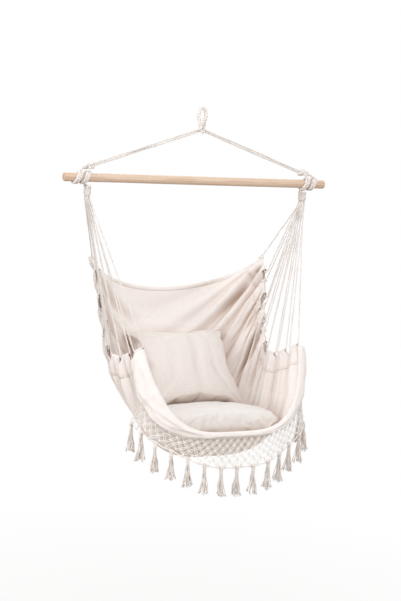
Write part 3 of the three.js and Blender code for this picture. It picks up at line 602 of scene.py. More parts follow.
def knot_path(half, rope, turn, count=110):
    t = turns_of(count)
    x = np.sin(t) + 2 * np.sin(2 * t)
    y = np.cos(t) - 2 * np.cos(2 * t)
    x, y = x * math.cos(turn) - y * math.sin(turn), x * math.sin(turn) + y * math.cos(turn)
    half = np.asarray(half, float) - rope
    x, y = x / np.abs(x).max() * half[0], y / np.abs(y).max() * half[1]
    return np.stack([x, y, -np.sin(3 * t) * half[2]], axis=1)


def tied_knot(name, center, half, rope, body, node, turn):
    center = np.asarray(center, float)
    upright = [0, 2, 1]
    path = knot_path([half[k] for k in upright], rope, turn)[:, upright] + center
    knot = Bundle().rope(path, rope, pitch=26, sides=8, closed=True)
    knot.add(*oval_ball(center, *(np.diag(half) * KNOT_CORE_SHARE), 12, 18))
    knot.piece(name, rope_cotton, body, "rope", (node,))


# Yoke: two laid ropes on each side, which turn slowly round each other
YOKE_START_GAP = 0.9
YOKE_END_INSET = 5
YOKE_APART = 0.15
YOKE_BOW = 0.5
YOKE_LEAN = 0.5
YOKE_LEANS = 1.5


def yoke_side(name, side):
    eye = EYE_KNOT_Z * UP
    far = np.array([side * YOKE_KNOT_X, 0, YOKE_KNOT_Z])
    run = unit(far - eye)
    above = np.array([-run[2] * side, 0, run[0] * side])
    start = eye + run * (EYE_KNOT_RADIUS + YOKE_START_GAP)
    end = far - run * (YOKE_KNOT_HALF_WIDTH - YOKE_END_INSET)
    for row, lift in (("upper", 1), ("lower", -1)):
        path = []
        for share in np.linspace(0, 1, 60):
            spread = YOKE_ROPE_RADIUS + YOKE_APART + YOKE_BOW * math.sin(math.pi * share) ** 2
            lean = YOKE_LEAN * math.sin(FULL_TURN * share * YOKE_LEANS + 0.6 * side)
            offset = lift * spread * (above * math.cos(lean) + np.array([0, 1.0, 0]) * math.sin(lean))
            path.append(start + (end - start) * share + offset)
        rope = Bundle().rope(path, YOKE_ROPE_RADIUS, strands=6, pitch=74, sides=6, step=3, phase=lift)
        rope.piece(f"yoke_line_{row}_{name}", rope_cotton, "yoke", "rope", (f"yoke_rope_{row}_{name}",))


# Bands of cord round the bar, each wound in two layers that lean along it
BAND_CORD = 2.55
BAND_COLUMNS = 5
BAND_LAYER_LIFT = 0.2
BAND_WANDER = 0.35
TAIL_RADIUS = 4.2
TAIL_INSET = 20
TAIL_DROP = 2
TAIL_BOW = 1.5


def band_rings(center_x):
    span = BAND_WIDTH - 2 * BAND_CORD
    lower = (BAND_INNER_RADIUS + BAND_CORD, BAND_COLUMNS)
    upper = (BAND_OUTER_RADIUS - BAND_CORD + BAND_LAYER_LIFT, BAND_COLUMNS - 1)
    rings = []
    for layer, (radius, count) in enumerate((lower, upper)):
        for k in range(count):
            offset = (k - (count - 1) / 2) * span / (BAND_COLUMNS - 1)
            ring = []
            for angle in turns_of(64):
                wander = BAND_WANDER * math.sin(2 * angle + 1.7 * k + layer)
                ring.append((center_x + offset + wander + BAND_SLANT * math.sin(angle),
                             radius * math.cos(angle), BAR_Z + radius * math.sin(angle)))
            rings.append(ring)
    return rings


def wound_band(name, center_x, body, node, tail=None):
    band = Bundle()
    for k, ring in enumerate(band_rings(center_x)):
        band.rope(ring, BAND_CORD, pitch=16, sides=5, phase=k, closed=True)
    if tail is not None:
        band.rope(tail, TAIL_RADIUS, pitch=20, step=2)
    band.piece(name, rope_cotton, body, "rope", (node,))


def yoke_tail(side):
    """The cord that runs from the yoke's knot down to the outer band."""
    start = (side * (YOKE_KNOT_X + TAIL_INSET), 0, YOKE_KNOT_Z - TAIL_DROP)
    end = (side * YOKE_TURN_X + BAND_SLANT, 0, BAR_Z + BAND_OUTER_RADIUS - 1)
    return [start, ((start[0] + end[0]) / 2, 0, (start[2] + end[2]) / 2 + TAIL_BOW), end]


# Gathers: a cord wound round the flat bunch of seat cords under the bar, on a plain core
GATHER_SWELL = 2.6
WHIP_RADIUS = 2.1
WHIP_TURNS = 9
WHIP_CORE_INSET = 0.6
WHIP_CORE_SIDES = 24
WHIP_CORE_LEVELS = 10
NECK_CORDS = 7
NECK_CORD_RADIUS = 2.4
NECK_BAND_INSET = 2.6
NECK_FAN = 0.62
NECK_FOOT_SHARE = 0.36
NECK_FOOT_DROP = 5


def gather(name, side):
    drops = [drop for _, drop in GATHER_SHARES]
    widths = [width for width, _ in GATHER_SHARES]
    laid = {"pitch": 13, "sides": 5, "step": 1.6}

    def radii(share):
        width = np.interp(share, drops, widths)
        return [size / 2 * width - WHIP_RADIUS + GATHER_SWELL for size in (GATHER_WIDTH, GATHER_DEPTH)]

    center = (side * GATHER_X, 0)
    wound = winding(center, radii, GATHER_TOP_Z - WHIP_RADIUS, GATHER_FOOT_Z + WHIP_RADIUS, WHIP_TURNS, 40)
    whipping = Bundle().rope(wound, WHIP_RADIUS, **laid)
    core = []
    for share in np.linspace(0, 1, WHIP_CORE_LEVELS + 1):
        a, b = (size - WHIP_CORE_INSET for size in radii(share))
        level = GATHER_TOP_Z - WHIP_CORE_INSET - (GATHER_HEIGHT - 2 * WHIP_CORE_INSET) * share
        for angle in turns_of(WHIP_CORE_SIDES):
            core.append((center[0] + a * math.cos(angle), b * math.sin(angle), level))
    faces = grid_faces(WHIP_CORE_LEVELS + 1, WHIP_CORE_SIDES, around=True)
    whipping.add(core, faces + [face[::-1] for face in end_caps(WHIP_CORE_LEVELS + 1, WHIP_CORE_SIDES)])
    ring = BAND_OUTER_RADIUS - NECK_BAND_INSET
    for k, lean in enumerate(np.linspace(-1, 1, NECK_CORDS)):
        angle = -math.pi / 2 + NECK_FAN * lean
        start = np.array([side * HITCH_X + BAND_SLANT * math.sin(angle), ring * math.cos(angle),
                          BAR_Z + ring * math.sin(angle)])
        end = np.array([center[0], NECK_FOOT_SHARE * GATHER_DEPTH * lean, GATHER_TOP_Z - NECK_FOOT_DROP])
        middle = np.array([(start[0] + end[0]) / 2, end[1], (start[2] + end[2]) / 2 - 0.5])
        whipping.rope([start, middle, end], NECK_CORD_RADIUS, phase=k, **laid)
    whipping.piece(f"whipping_{name}", rope_cotton, "seat", "rope", (f"gather_{name}",))


spreader_bar()
hanging_eye()
tied_knot("knot_under_eye", EYE_KNOT_Z * UP, (EYE_KNOT_RADIUS,) * 3, EYE_KNOT_ROPE, "knot", "eye_knot",
          EYE_KNOT_TURN)
for side_name, side_sign in SIDES:
    yoke_side(side_name, side_sign)
    knot_place = (side_sign * YOKE_KNOT_X, 0, YOKE_KNOT_Z + BAR_KNOT_LIFT)
    tied_knot(f"bar_knot_{side_name}", knot_place, BAR_KNOT_HALF, BAR_KNOT_ROPE, "yoke",
              f"yoke_knot_{side_name}", BAR_KNOT_TURN * side_sign)
    wound_band(f"outer_band_{side_name}", side_sign * YOKE_TURN_X, "yoke", f"yoke_turn_{side_name}",
               yoke_tail(side_sign))
    wound_band(f"inner_band_{side_name}", side_sign * HITCH_X, "seat", f"hitch_band_{side_name}")
    gather(side_name, side_sign)


# Canvas surface: the same curves as the frame's canvas, with its folds
CANVAS_HALF_WIDTH = 332
CANVAS_DEPTH = 670
CANVAS_REACH = 380
CANVAS_HEIGHT = 673
CANVAS_TOP_Z = -512
FOLD_DEPTH = 9
NOTCH_DEPTH = 27
SHOULDER_SHARE = 0.2
SIDE_EDGE_SHARES = (
    (1, 0.761, 0), (0.97, 0.687, 0.131), (0.94, 0.657, 0.279), (0.916, 0.619, 0.413),
    (0.904, 0.567, 0.495), (0.898, 0.463, 0.505), (0.889, 0.343, 0.465), (0.858, 0.187, 0.406))
CENTRE_LINE_SHARES = (
    (1, 0.214), (0.919, 0.368), (0.833, 0.517), (0.739, 0.666), (0.627, 0.822),
    (0.493, 0.941), (0.343, 1), (0.209, 0.97), (0.09, 0.889), (0, 0.817))
REAR_FULLNESS = 2
SEAT_FULLNESS = 3
FRONT_FULLNESS = 4
SIDE_STEEPNESS = 0.7
FRONT_STEEPNESS = 0.65
FOLD_REACH_SHARE = 0.55
CLOTH_HALF_WIDTH = 470
CLOTH_LENGTH = 970
# Each crease: from share across and down, to share across and down, width and depth
PULLED_FOLDS = (
    (0.98, -0.02, -0.62, 0.19, 34, 21), (0.8, 0.1, -0.2, 0.33, 26, 14), (-0.85, 0.02, 0.2, 0.3, 26, 11),
    (1.05, 0.0, -0.25, 0.26, 22, 24), (1.05, 0.06, 0.0, 0.31, 14, 15), (1.0, 0.13, 0.2, 0.33, 12, 14),
    (1.0, 0.21, 0.3, 0.38, 12, 16), (1.0, 0.285, 0.4, 0.45, 11, 16), (1.0, 0.355, 0.34, 0.53, 11, 30),
    (1.0, 0.43, 0.5, 0.54, 8, 14), (1.0, 0.5, 0.5, 0.58, 8, 14), (1.0, 0.57, 0.5, 0.62, 8, 13),
    (1.0, 0.645, 0.5, 0.66, 8, 14), (1.0, 0.715, 0.52, 0.71, 8, 13), (1.0, 0.785, 0.52, 0.77, 8, 13),
    (1.0, 0.857, 0.56, 0.84, 8, 10), (1.0, 0.93, 0.6, 0.9, 8, 8),
    (-1.05, 0.01, 0.1, 0.2, 20, 15), (-1.05, 0.08, -0.1, 0.3, 14, 14), (-1.0, 0.16, -0.28, 0.33, 11, 13),
    (-1.0, 0.215, -0.36, 0.4, 11, 15), (-1.0, 0.29, -0.4, 0.46, 11, 15), (-1.0, 0.36, -0.42, 0.51, 12, 18),
    (-1.0, 0.435, -0.5, 0.55, 8, 13), (-1.0, 0.5, -0.52, 0.6, 8, 13), (-1.0, 0.575, -0.5, 0.62, 8, 13),
    (-1.0, 0.64, -0.5, 0.68, 8, 12), (-1.0, 0.72, -0.52, 0.72, 8, 13), (-1.0, 0.79, -0.54, 0.77, 8, 12),
    (-1.0, 0.857, -0.58, 0.84, 8, 10), (-1.0, 0.93, -0.62, 0.9, 8, 8))
SECOND_FOLD_DEPTH = 3.4
THIRD_FOLD_DEPTH = 1.7
DRAPE_DEPTH = 3.5
SEAT_CALM_SHARE = 0.75
STRAIGHT_REACH_STEPS = 17
ROW_STEPS = TABS * 24
HALF_STEPS = 72
WIDE_STEPS = 2 * HALF_STEPS
row_shares = np.linspace(0, 1, ROW_STEPS + 1)
across_shares = np.linspace(-1, 1, WIDE_STEPS + 1)[None, :]


def side_place(x, y, z):
    return x * CANVAS_HALF_WIDTH, y * CANVAS_DEPTH - CANVAS_REACH, CANVAS_TOP_Z - z * CANVAS_HEIGHT


side_path = Path(eased_curve([side_place(*shares) for shares in SIDE_EDGE_SHARES]))
centre_path = Path(eased_curve([side_place(0, *shares) for shares in CENTRE_LINE_SHARES]))


def canvas_row(down, across):
    """The smooth canvas at a share from the rear hem to the front one, at shares across it."""
    edge, middle = side_path.at(down), centre_path.at(down)
    to_seat, to_front = min(1, down * 2), max(0, down * 2 - 1)
    fullness = REAR_FULLNESS + (SEAT_FULLNESS - REAR_FULLNESS) * to_seat
    fullness += (FRONT_FULLNESS - SEAT_FULLNESS) * to_front
    steepness = SIDE_STEEPNESS + (FRONT_STEEPNESS - SIDE_STEEPNESS) * to_front
    to_edge = 1 - (1 - np.abs(across) ** fullness) ** steepness
    row = middle[None] + (edge - middle)[None] * to_edge[:, None]
    row[:, 0] = edge[0] * across
    return row


def smooth_canvas():
    """Rows of the smooth canvas at even steps of length from the middle to each edge."""
    across = np.sin(np.linspace(-math.pi / 2, math.pi / 2, 481))
    shares = np.linspace(0, 1, WIDE_STEPS + 1)
    return np.array([Path(canvas_row(down, across)).at(shares) for down in row_shares])


def grid_normals(grid):
    return unit(np.cross(np.gradient(grid, axis=1), -np.gradient(grid, axis=0)))


def pulled_folds():
    """Long creases where the cords pull: each is a valley with a lower ridge beside it."""
    cloth = np.array([CLOTH_HALF_WIDTH, CLOTH_LENGTH])
    x, y = across_shares * cloth[0], row_shares[:, None] * cloth[1]
    amount = 0
    for from_across, from_down, to_across, to_down, width, depth in PULLED_FOLDS:
        start = np.array([from_across, from_down]) * cloth
        run = np.array([to_across, to_down]) * cloth - start
        length = np.hypot(*run)
        run /= length
        along = ((x - start[0]) * run[0] + (y - start[1]) * run[1]) / length
        off = (x - start[0]) * run[1] - (y - start[1]) * run[0] + 0.035 * length * np.sin(math.pi * along)
        spread = width * (0.6 + 0.7 * np.clip(along, 0, 1.2))
        window = np.clip(along / 0.08, 0, 1) * np.clip((1 - along) / 0.6, 0, 1) ** 1.2
        shape = -np.exp(-(off / spread) ** 2) + 0.6 * np.exp(-((off - 1.9 * spread) / (1.2 * spread)) ** 2)
        amount = amount + depth * shape * window
    return amount


def folded(smooth):
    """The folds run in from the tabs: broad ones that the frame has too, and finer ones between them."""
    down = row_shares[:, None]
    across = np.abs(smooth[:, :, 0]) / np.abs(smooth[:, -1:, 0])
    side = np.sign(across_shares)
    turn = FULL_TURN * TABS * down
    main = -FOLD_DEPTH * np.clip((across - FOLD_REACH_SHARE) / (1 - FOLD_REACH_SHARE), 0, 1) * np.cos(turn)
    soft = np.clip((across - 0.3) / 0.7, 0, 1) ** 1.6
    wander = 0.9 * np.sin(5 * across + side * 1.3 + 9 * down)
    second = SECOND_FOLD_DEPTH * soft * np.sin(1.55 * turn + wander + 0.8 * side)
    third = THIRD_FOLD_DEPTH * soft ** 1.5 * np.sin(3.2 * turn + 2.1 * wander - 1.1 * side)
    back = np.clip(1 - down / 0.36, 0, 1) * np.clip(down / 0.04, 0, 1)
    drape = DRAPE_DEPTH * back * np.sin(5.5 * across_shares - 19 * down + 0.7)
    drape *= np.clip(1.1 - across ** 4, 0, 1)
    seat = np.clip((down - 0.45) / 0.1, 0, 1) * np.clip((1 - down) / 0.06, 0, 1)
    calm = 1 - SEAT_CALM_SHARE * seat * np.clip((0.8 - across) / 0.2, 0, 1)
    amount = main + (second + third) * calm + drape + pulled_folds()
    return smooth + grid_normals(smooth) * amount[:, :, None]


def straightened(grid):
    """A tab's edge runs straight between its shoulders, where its casing is sewn round the cord."""
    per = ROW_STEPS // TABS
    shoulder = int(round(SHOULDER_SHARE * per))
    for column, inward in ((0, 1), (WIDE_STEPS, -1)):
        for tab in range(TABS):
            first, last = tab * per + shoulder, (tab + 1) * per - shoulder
            for i in range(tab * per, min(ROW_STEPS, (tab + 1) * per) + 1):
                share = (i - first) / (last - first)
                line = grid[first, column] * (1 - share) + grid[last, column] * share
                overshoot = 0 if 0 <= share <= 1 else min(abs(share), abs(share - 1)) / 0.35
                pull = (line - grid[i, column]) * max(0.0, 1 - overshoot)
                for k in range(STRAIGHT_REACH_STEPS):
                    grid[i, column + inward * k] += pull * (1 - k / STRAIGHT_REACH_STEPS) ** 1.5
    return grid


canvas_grid = straightened(folded(smooth_canvas()))
canvas_grid_normals = grid_normals(canvas_grid)
half_lengths = np.array([Path(row[HALF_STEPS:]).length for row in canvas_grid])


def on_grid(values, down, column):
    """Values of the canvas grid between its points; column runs from 0 at the left edge."""
    i = np.clip(np.asarray(down, float), 0, 1) * ROW_STEPS
    j = np.clip(np.asarray(column, float), 0, WIDE_STEPS)
    i0 = np.minimum(i.astype(int), ROW_STEPS - 1)
    j0 = np.minimum(j.astype(int), WIDE_STEPS - 1)
    a, b = (i - i0)[..., None], (j - j0)[..., None]
    return ((values[i0, j0] * (1 - b) + values[i0, j0 + 1] * b) * (1 - a)
            + (values[i0 + 1, j0] * (1 - b) + values[i0 + 1, j0 + 1] * b) * a)


def canvas_at(down, column):
    """The place on the canvas and the direction off its inner face."""
    return on_grid(canvas_grid, down, column), unit(on_grid(canvas_grid_normals, down, column))


def column_of(side, down, distance):
    """The grid column that lies that many millimetres in from a side's edge."""
    half = np.interp(down, row_shares, half_lengths)
    inward = np.asarray(distance, float) / half * HALF_STEPS
    return inward if side < 0 else WIDE_STEPS - inward


def notch_depth(down):
    """How far the edge is cut in at a share from the rear hem to the front one."""
    along = down * TABS
    near = min(along % 1, 1 - along % 1)
    if not SHOULDER_SHARE <= along <= TABS - SHOULDER_SHARE:
        return 0
    return NOTCH_DEPTH * max(0, 1 - near / SHOULDER_SHARE)


# Canvas: one sheet that stops inside its casings, with its rows closest together at the tabs' shoulders
CLOTH_EDGE = 9
CLOTH_THICKNESS = 1.5
TAB_ROW_SHARES = (
    0, 0.04, 0.08, 0.12, 0.16, 0.2, 0.245, 0.29, 0.335, 0.38, 0.425, 0.47, 0.515, 0.56, 0.605, 0.65,
    0.7, 0.75, 0.8, 0.84, 0.88, 0.92, 0.96)
EDGE_ZONE_SHARE = 0.22


def seat_canvas():
    rows = [(tab + share) / TABS for tab in range(TABS) for share in TAB_ROW_SHARES] + [1.0]
    steps = np.concatenate([np.linspace(0, EDGE_ZONE_SHARE, 14)[:-1], np.linspace(EDGE_ZONE_SHARE, 1, 58)])
    points = []
    for down in rows:
        edge = column_of(-1, down, notch_depth(down) + CLOTH_EDGE)
        left = edge + (HALF_STEPS - edge) * steps
        columns = np.concatenate([left, (WIDE_STEPS - left)[::-1][1:]])
        points.append(on_grid(canvas_grid, np.full(len(columns), down), columns))
    cloth = Bundle().sheet(points)
    return thickened(cloth.piece("hammock_canvas", canvas_cloth, "seat", "canvas", ("seat_canvas",)),
                     CLOTH_THICKNESS)


# Casings: a strip folded round the cord at each tab and sewn down on both faces of the canvas
CASING_DEPTH = 70
CASING_RADIUS = 4.6
CASING_THICKNESS = 1.1
CASING_MARGIN_SHARE = 0.012
CASING_PUCKER_SHARE = 0.1
CASING_PUCKER_REACH = 8
# Off the cloth at shares of the casing's depth
CASING_SHARES = ((1, 0.15), (0.94, 0.75), (0.85, 1.25), (0.6, 1.9), (0.38, 2.8), (0.2, 4.0))
CASING_NECK = (7, 4.5)
# Each mouth: how far along the tab it reaches, how much it flares, and how much it ruffles
OPEN_TABS = 4
MOUTH_OPEN = (0.12, 0.95, 0.7)
MOUTH_GATHERED = (0.08, -0.3, 0.16)
MOUTH_DEPTH = 22
EDGE_STEP = 6
CASING_SEAMS = (CASING_DEPTH - 3, CASING_DEPTH - 9)
CASING_SEAM_LIFT = 2.1


def casing_profile():
    """Inward and off the cloth, from the inner face's seam round the cord to the outer face's."""
    inner = [(CASING_DEPTH * share, off) for share, off in CASING_SHARES] + [CASING_NECK]
    turn = [(-CASING_RADIUS * math.sin(a), CASING_RADIUS * math.cos(a)) for a in np.linspace(0, math.pi, 11)]
    return inner + turn + [(inward, -off) for inward, off in reversed(inner)]


def casing(name, side, tab):
    zone, flare, ruffle = MOUTH_OPEN if tab < OPEN_TABS else MOUTH_GATHERED
    points = []
    for share in np.linspace(0, 1, 25):
        row = []
        for j, (inward, off) in enumerate(casing_profile()):
            within = max(inward, 0)
            margin = SHOULDER_SHARE * max(0, 1 - within / NOTCH_DEPTH) + CASING_MARGIN_SHARE
            down = (tab + margin + (1 - 2 * margin) * share) / TABS
            base, normal = canvas_at(down, column_of(side, down, within))
            wave = math.sin(19 * share + 1.7 * tab + side)
            pucker = 1 + CASING_PUCKER_SHARE * wave * (1 - abs(off) / CASING_PUCKER_REACH)
            near_mouth = math.exp(-(min(share, 1 - share) / zone) ** 2)
            near_mouth *= np.clip(1.5 - within / MOUTH_DEPTH, 0, 1)
            ripple = ruffle * math.sin(1.5 * j + 2.3 * tab + side + 9 * (share > 0.5))
            pucker *= 1 + near_mouth * (flare + ripple)
            point = base + normal * off * pucker
            if inward < 0:
                outward = unit(base - on_grid(canvas_grid, down, column_of(side, down, EDGE_STEP)))
                point = point + outward * -inward * (1 + flare * near_mouth)
            row.append(point)
        points.append(row)
    strip = Bundle().sheet(points).piece(f"casing_{name}_{tab + 1}", canvas_cloth, "seat", "canvas")
    return thickened(strip, CASING_THICKNESS)


# Stitches: short raised threads, one row along each seam
STITCH_LENGTH = 4.2
STITCH_GAP = 2.0
STITCH_RADIUS = 0.38
STITCH_RISE = 0.65


def stitch_row(bundle, path, normals):
    line = Path(path)
    each = STITCH_LENGTH + STITCH_GAP
    for k in range(max(1, int(line.length // each))):
        middle = (k + 0.5) * each / line.length
        half = 0.5 * STITCH_LENGTH / line.length
        normal = unit(normals[min(int(middle * (len(normals) - 1)), len(normals) - 1)])
        thread = [line.at(middle - half), line.at(middle) + normal * STITCH_RISE, line.at(middle + half)]
        bundle.tube(thread, [STITCH_RADIUS * 0.7, STITCH_RADIUS, STITCH_RADIUS * 0.7], 5)


def seam_piece(name, rows):
    """Stitches along rows of places, each with the directions off the cloth."""
    seams = Bundle()
    for path, normals in rows:
        stitch_row(seams, path, normals)
    return seams.piece(name, thread_cotton, "seat", "canvas")


def both_faces(path, normals, lift):
    return [(path + normals * face * lift, normals * face) for face in (1, -1)]


def casing_stitches():
    rows = []
    for _, side in SIDES:
        for tab in range(TABS):
            downs = (tab + np.linspace(0.03, 0.97, 30)) / TABS
            for inward in CASING_SEAMS:
                rows += both_faces(*canvas_at(downs, column_of(side, downs, inward)), CASING_SEAM_LIFT)
    return seam_piece("casing_stitches", rows)


# Rear hem: the edge is rolled over and sewn
HEM_WIDTH = 15
HEM_WIDTH_SHARE = 0.975
HEM_SEAM_INSET = 3.5
HEM_SEAM_LIFT = 1.8
HEM_RIPPLE_SHARE = 0.12
HEM_THIN = 1.6
HEM_INNER = ((15, 1.5), (10.5, 1.9), (6, 2.5), (5, 2.8), (2.6, 2.6), (0.8, 1.9), (0.1, 0.7))


def rear_hem():
    profile = list(HEM_INNER) + [(inward, -off) for inward, off in reversed(HEM_INNER)]
    shares = np.linspace(-1, 1, 161)
    downs = np.linspace(0, 0.05, 21)
    points, seam, seam_normals = [], [], []
    for share in shares:
        places, normals = canvas_at(downs, np.full(len(downs), HALF_STEPS * (1 + HEM_WIDTH_SHARE * share)))
        line = Path(places)
        fade = min(1.0, (1 - abs(share)) / 0.04 + 0.35)
        ripple = 1 + HEM_RIPPLE_SHARE * math.sin(61 * share + 3 * math.sin(7 * share))
        row = []
        for inward, off in profile:
            at = inward / line.length
            lift = off * (fade if abs(off) > HEM_THIN else 1) * ripple
            row.append(line.at(at) + normals[min(20, int(at * 20))] * lift)
        points += row
        seam.append(line.at((HEM_WIDTH - HEM_SEAM_INSET) / line.length))
        seam_normals.append(normals[8])
    faces = grid_faces(len(shares), len(profile), around=True) + end_caps(len(shares), len(profile))
    hem = Bundle().add(points, faces).piece("rear_hem", canvas_cloth, "seat", "canvas")
    rows = both_faces(np.array(seam), np.array(seam_normals), HEM_SEAM_LIFT)
    return [hem, seam_piece("rear_hem_stitches", rows)]


# Seat cords: each loop runs from the gather through its casing and back
CORD_LAY_SWELL = 0.2
CORD_BEND = 9


def cord_loop(name, side, tab):
    column = 0 if side < 0 else WIDE_STEPS
    rear, front = (on_grid(canvas_grid, (tab + share) / TABS, column)
                   for share in (SHOULDER_SHARE, 1 - SHOULDER_SHARE))
    row_y = (0.5 * (TABS - 1) - tab) * CORD_SPACING

    def hung(half_column, drop=0):
        x = side * GATHER_X + half_column * CORD_SPACING / 2
        return np.array([x, row_y, GATHER_FOOT_Z - FIT_GAP - drop])

    run = unit(front - rear)
    pull = hung(0) - front
    outward = unit(pull - run * np.dot(pull, run)) * SLEEVE_DIAMETER
    ends = (rear - run * CORD_TURN_LENGTH, front + run * CORD_TURN_LENGTH)
    corners = [hung(side), hung(side, CORD_BOUND_LENGTH), ends[0] + outward, *ends, ends[1] + outward,
               hung(-side, CORD_BOUND_LENGTH), hung(-side)]
    loop = Bundle().rope(eased_corners(corners, CORD_BEND), CORD_RADIUS + CORD_LAY_SWELL, strands=4,
                         pitch=24, sides=5, step=3, phase=tab)
    loop.piece(f"seat_cord_{name}_{tab + 1}", cord_cotton, "seat", "rope", (f"cord_loop_{name}_{tab + 1}",))


canvas_piece = seat_canvas()
tabs = [(side_name, side_sign, tab) for side_name, side_sign in SIDES for tab in range(TABS)]
casings = [casing(*tab) for tab in tabs] + [casing_stitches()]
rear_hems = rear_hem()
for tab in tabs:
    cord_loop(*tab)


# Cushions: simulated cloth over a smaller copy of the frame's solid, kept clear of what it rests on
BACK_CUSHION_WIDTH = 385
BACK_CUSHION_LENGTH = 345
BACK_CUSHION_LEAN = 48
BACK_CUSHION_CENTRE_SHARES = (0.622, 0.611)
SEAT_CUSHION_WIDTH = 490
SEAT_CUSHION_LENGTH = 390
SEAT_CUSHION_LEAN = -7
SEAT_CUSHION_CENTRE_SHARES = (0.32, 0.835)
CUSHION_SIDE_PULL_SHARE = 0.045
CUSHION_START_INSET = 7
CUSHION_MOST_MOVE = 11
CUSHION_FREE_SWELL = 4
CUSHION_MOST_SINK = 1.4
CUSHION_PAIR_GAP = 3.2
CUSHION_CANVAS_GAP = 2.2
CUSHION_CANVAS_NEAR = 60
CUSHION_PULL = 60
CUSHION_PULL_AXIS = (0, -0.573576, 0.819152)
VOXEL = 6
SWELL_FRAMES = 20
SWELL_PRESSURE = 4
# Each crease on a cushion: place across and along, length, width, depth and lean
BACK_CREASES = (
    (28, 10, 160, 19, 7.5, 0.06), (-70, -20, 120, 20, 5.0, 0.16), (-105, -90, 70, 13, 4.2, 0.7),
    (115, -80, 75, 13, 4.6, -0.6), (-60, 115, 80, 12, 3.6, 1.25), (95, 105, 65, 12, 4.2, -1.0),
    (90, 20, 90, 15, 3.6, -0.12))
SEAT_CREASES = (
    (-150, -60, 85, 12, 4.6, 1.25), (-120, -20, 80, 11, 3.8, 1.6), (-50, -120, 100, 13, 3.4, 1.5),
    (110, -80, 90, 12, 3.8, -1.25), (40, -20, 100, 16, 3.6, 0.6), (185, -30, 55, 11, 4.0, -0.9),
    (-20, 60, 90, 15, 3.2, 1.2))
CORNER_WAVE = 2.9
CORNER_REACH = 46
CORNER_SPREAD = 50
SEAM_STEPS = 1400
SEAM_PULL_REACH = 17
SEAM_PULL_SHARE = 0.85
SEAM_FLANGE = 1.5
SEAM_PUCKER = 0.9
SEAM_PUCKER_PLACE = 13
SEAM_PUCKER_SPREAD = 11
BLOCK = 4000
SEAM_RADIUS = 0.95
SEAM_EASINGS = 8
SEAM_SINK = 0.2
SEAM_DEEPER_SINK = 5.5
SEAM_SINK_GAP = 10
SEAM_SINK_FADE = 4


def mesh_tree(points, faces):
    return BVHTree.FromPolygons([Vector(p) for p in points], faces)


def tree_of(mesh):
    return mesh_tree([v.co[:] for v in mesh.vertices], [tuple(p.vertices) for p in mesh.polygons])


canvas_points = (canvas_grid.reshape(-1, 3) * MM).tolist()
canvas_tree = mesh_tree(canvas_points, grid_faces(ROW_STEPS + 1, WIDE_STEPS + 1))


def values_of(mesh, name):
    values = np.zeros(len(mesh.vertices) * 3)
    mesh.vertices.foreach_get(name, values)
    return values.reshape(-1, 3)


def set_points(mesh, points):
    mesh.vertices.foreach_set("co", np.asarray(points, float).ravel())
    mesh.update()


def seam_line(width, length, lean, centre):
    """The seam round a cushion's edge, with the cushion's turn and place."""
    shares = np.linspace(-1, 1, 41)[:-1]
    square = [(s, -1) for s in shares] + [(1, s) for s in shares]
    square += [(-s, 1) for s in shares] + [(-1, -s) for s in shares]
    points = []
    for v, u in square:
        pull_u, pull_v = (1 - CUSHION_SIDE_PULL_SHARE * (1 - w * w) for w in (v, u))
        points.append((v * pull_v * width / 2, -u * pull_u * length / 2, 0))
    turn = np.array(Matrix.Rotation(math.radians(lean), 3, "X"))
    place = np.array(side_place(0, *centre))
    return np.array(points) @ turn.T + place, turn, place


def simulated(obj, rest):
    """The case swollen by the cloth solver from a smaller start, with its growth capped."""
    cloth = obj.modifiers.new("swell", "CLOTH")
    settings = {
        "quality": 4, "mass": 0.25, "tension_stiffness": 18, "compression_stiffness": 18,
        "shear_stiffness": 8, "bending_stiffness": 0.6, "use_pressure": True,
        "uniform_pressure_force": SWELL_PRESSURE,
        "shrink_min": -0.035}
    for key, value in settings.items():
        setattr(cloth.settings, key, value)
    cloth.settings.effector_weights.gravity = 0
    cloth.collision_settings.use_collision = False
    cloth.point_cache.frame_start = 1
    cloth.point_cache.frame_end = SWELL_FRAMES
    scene = bpy.context.scene
    for step in range(1, SWELL_FRAMES + 1):
        scene.frame_set(step)
    graph = bpy.context.evaluated_depsgraph_get()
    swollen = values_of(obj.evaluated_get(graph).to_mesh(), "co")
    obj.evaluated_get(graph).to_mesh_clear()
    obj.modifiers.remove(cloth)
    scene.frame_set(1)
    move = swollen - rest
    reach = np.linalg.norm(move, axis=1, keepdims=True)
    return rest + move * np.minimum(1, CUSHION_MOST_MOVE * MM / np.maximum(reach, 1e-9))


def relaxed(obj, factor, iterations):
    relax = obj.modifiers.new("relax", "SMOOTH")
    relax.factor = factor
    relax.iterations = iterations


def remeshed(name, node):
    """An even mesh of the frame's own solid."""
    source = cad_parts[node].data.copy()
    obj = added(name, source)
    modifier = obj.modifiers.new("remesh", "REMESH")
    modifier.mode = "VOXEL"
    modifier.voxel_size = VOXEL * MM
    relaxed(obj, 0.5, 4)
    obj = applied(obj)
    bpy.data.meshes.remove(source)
    return obj


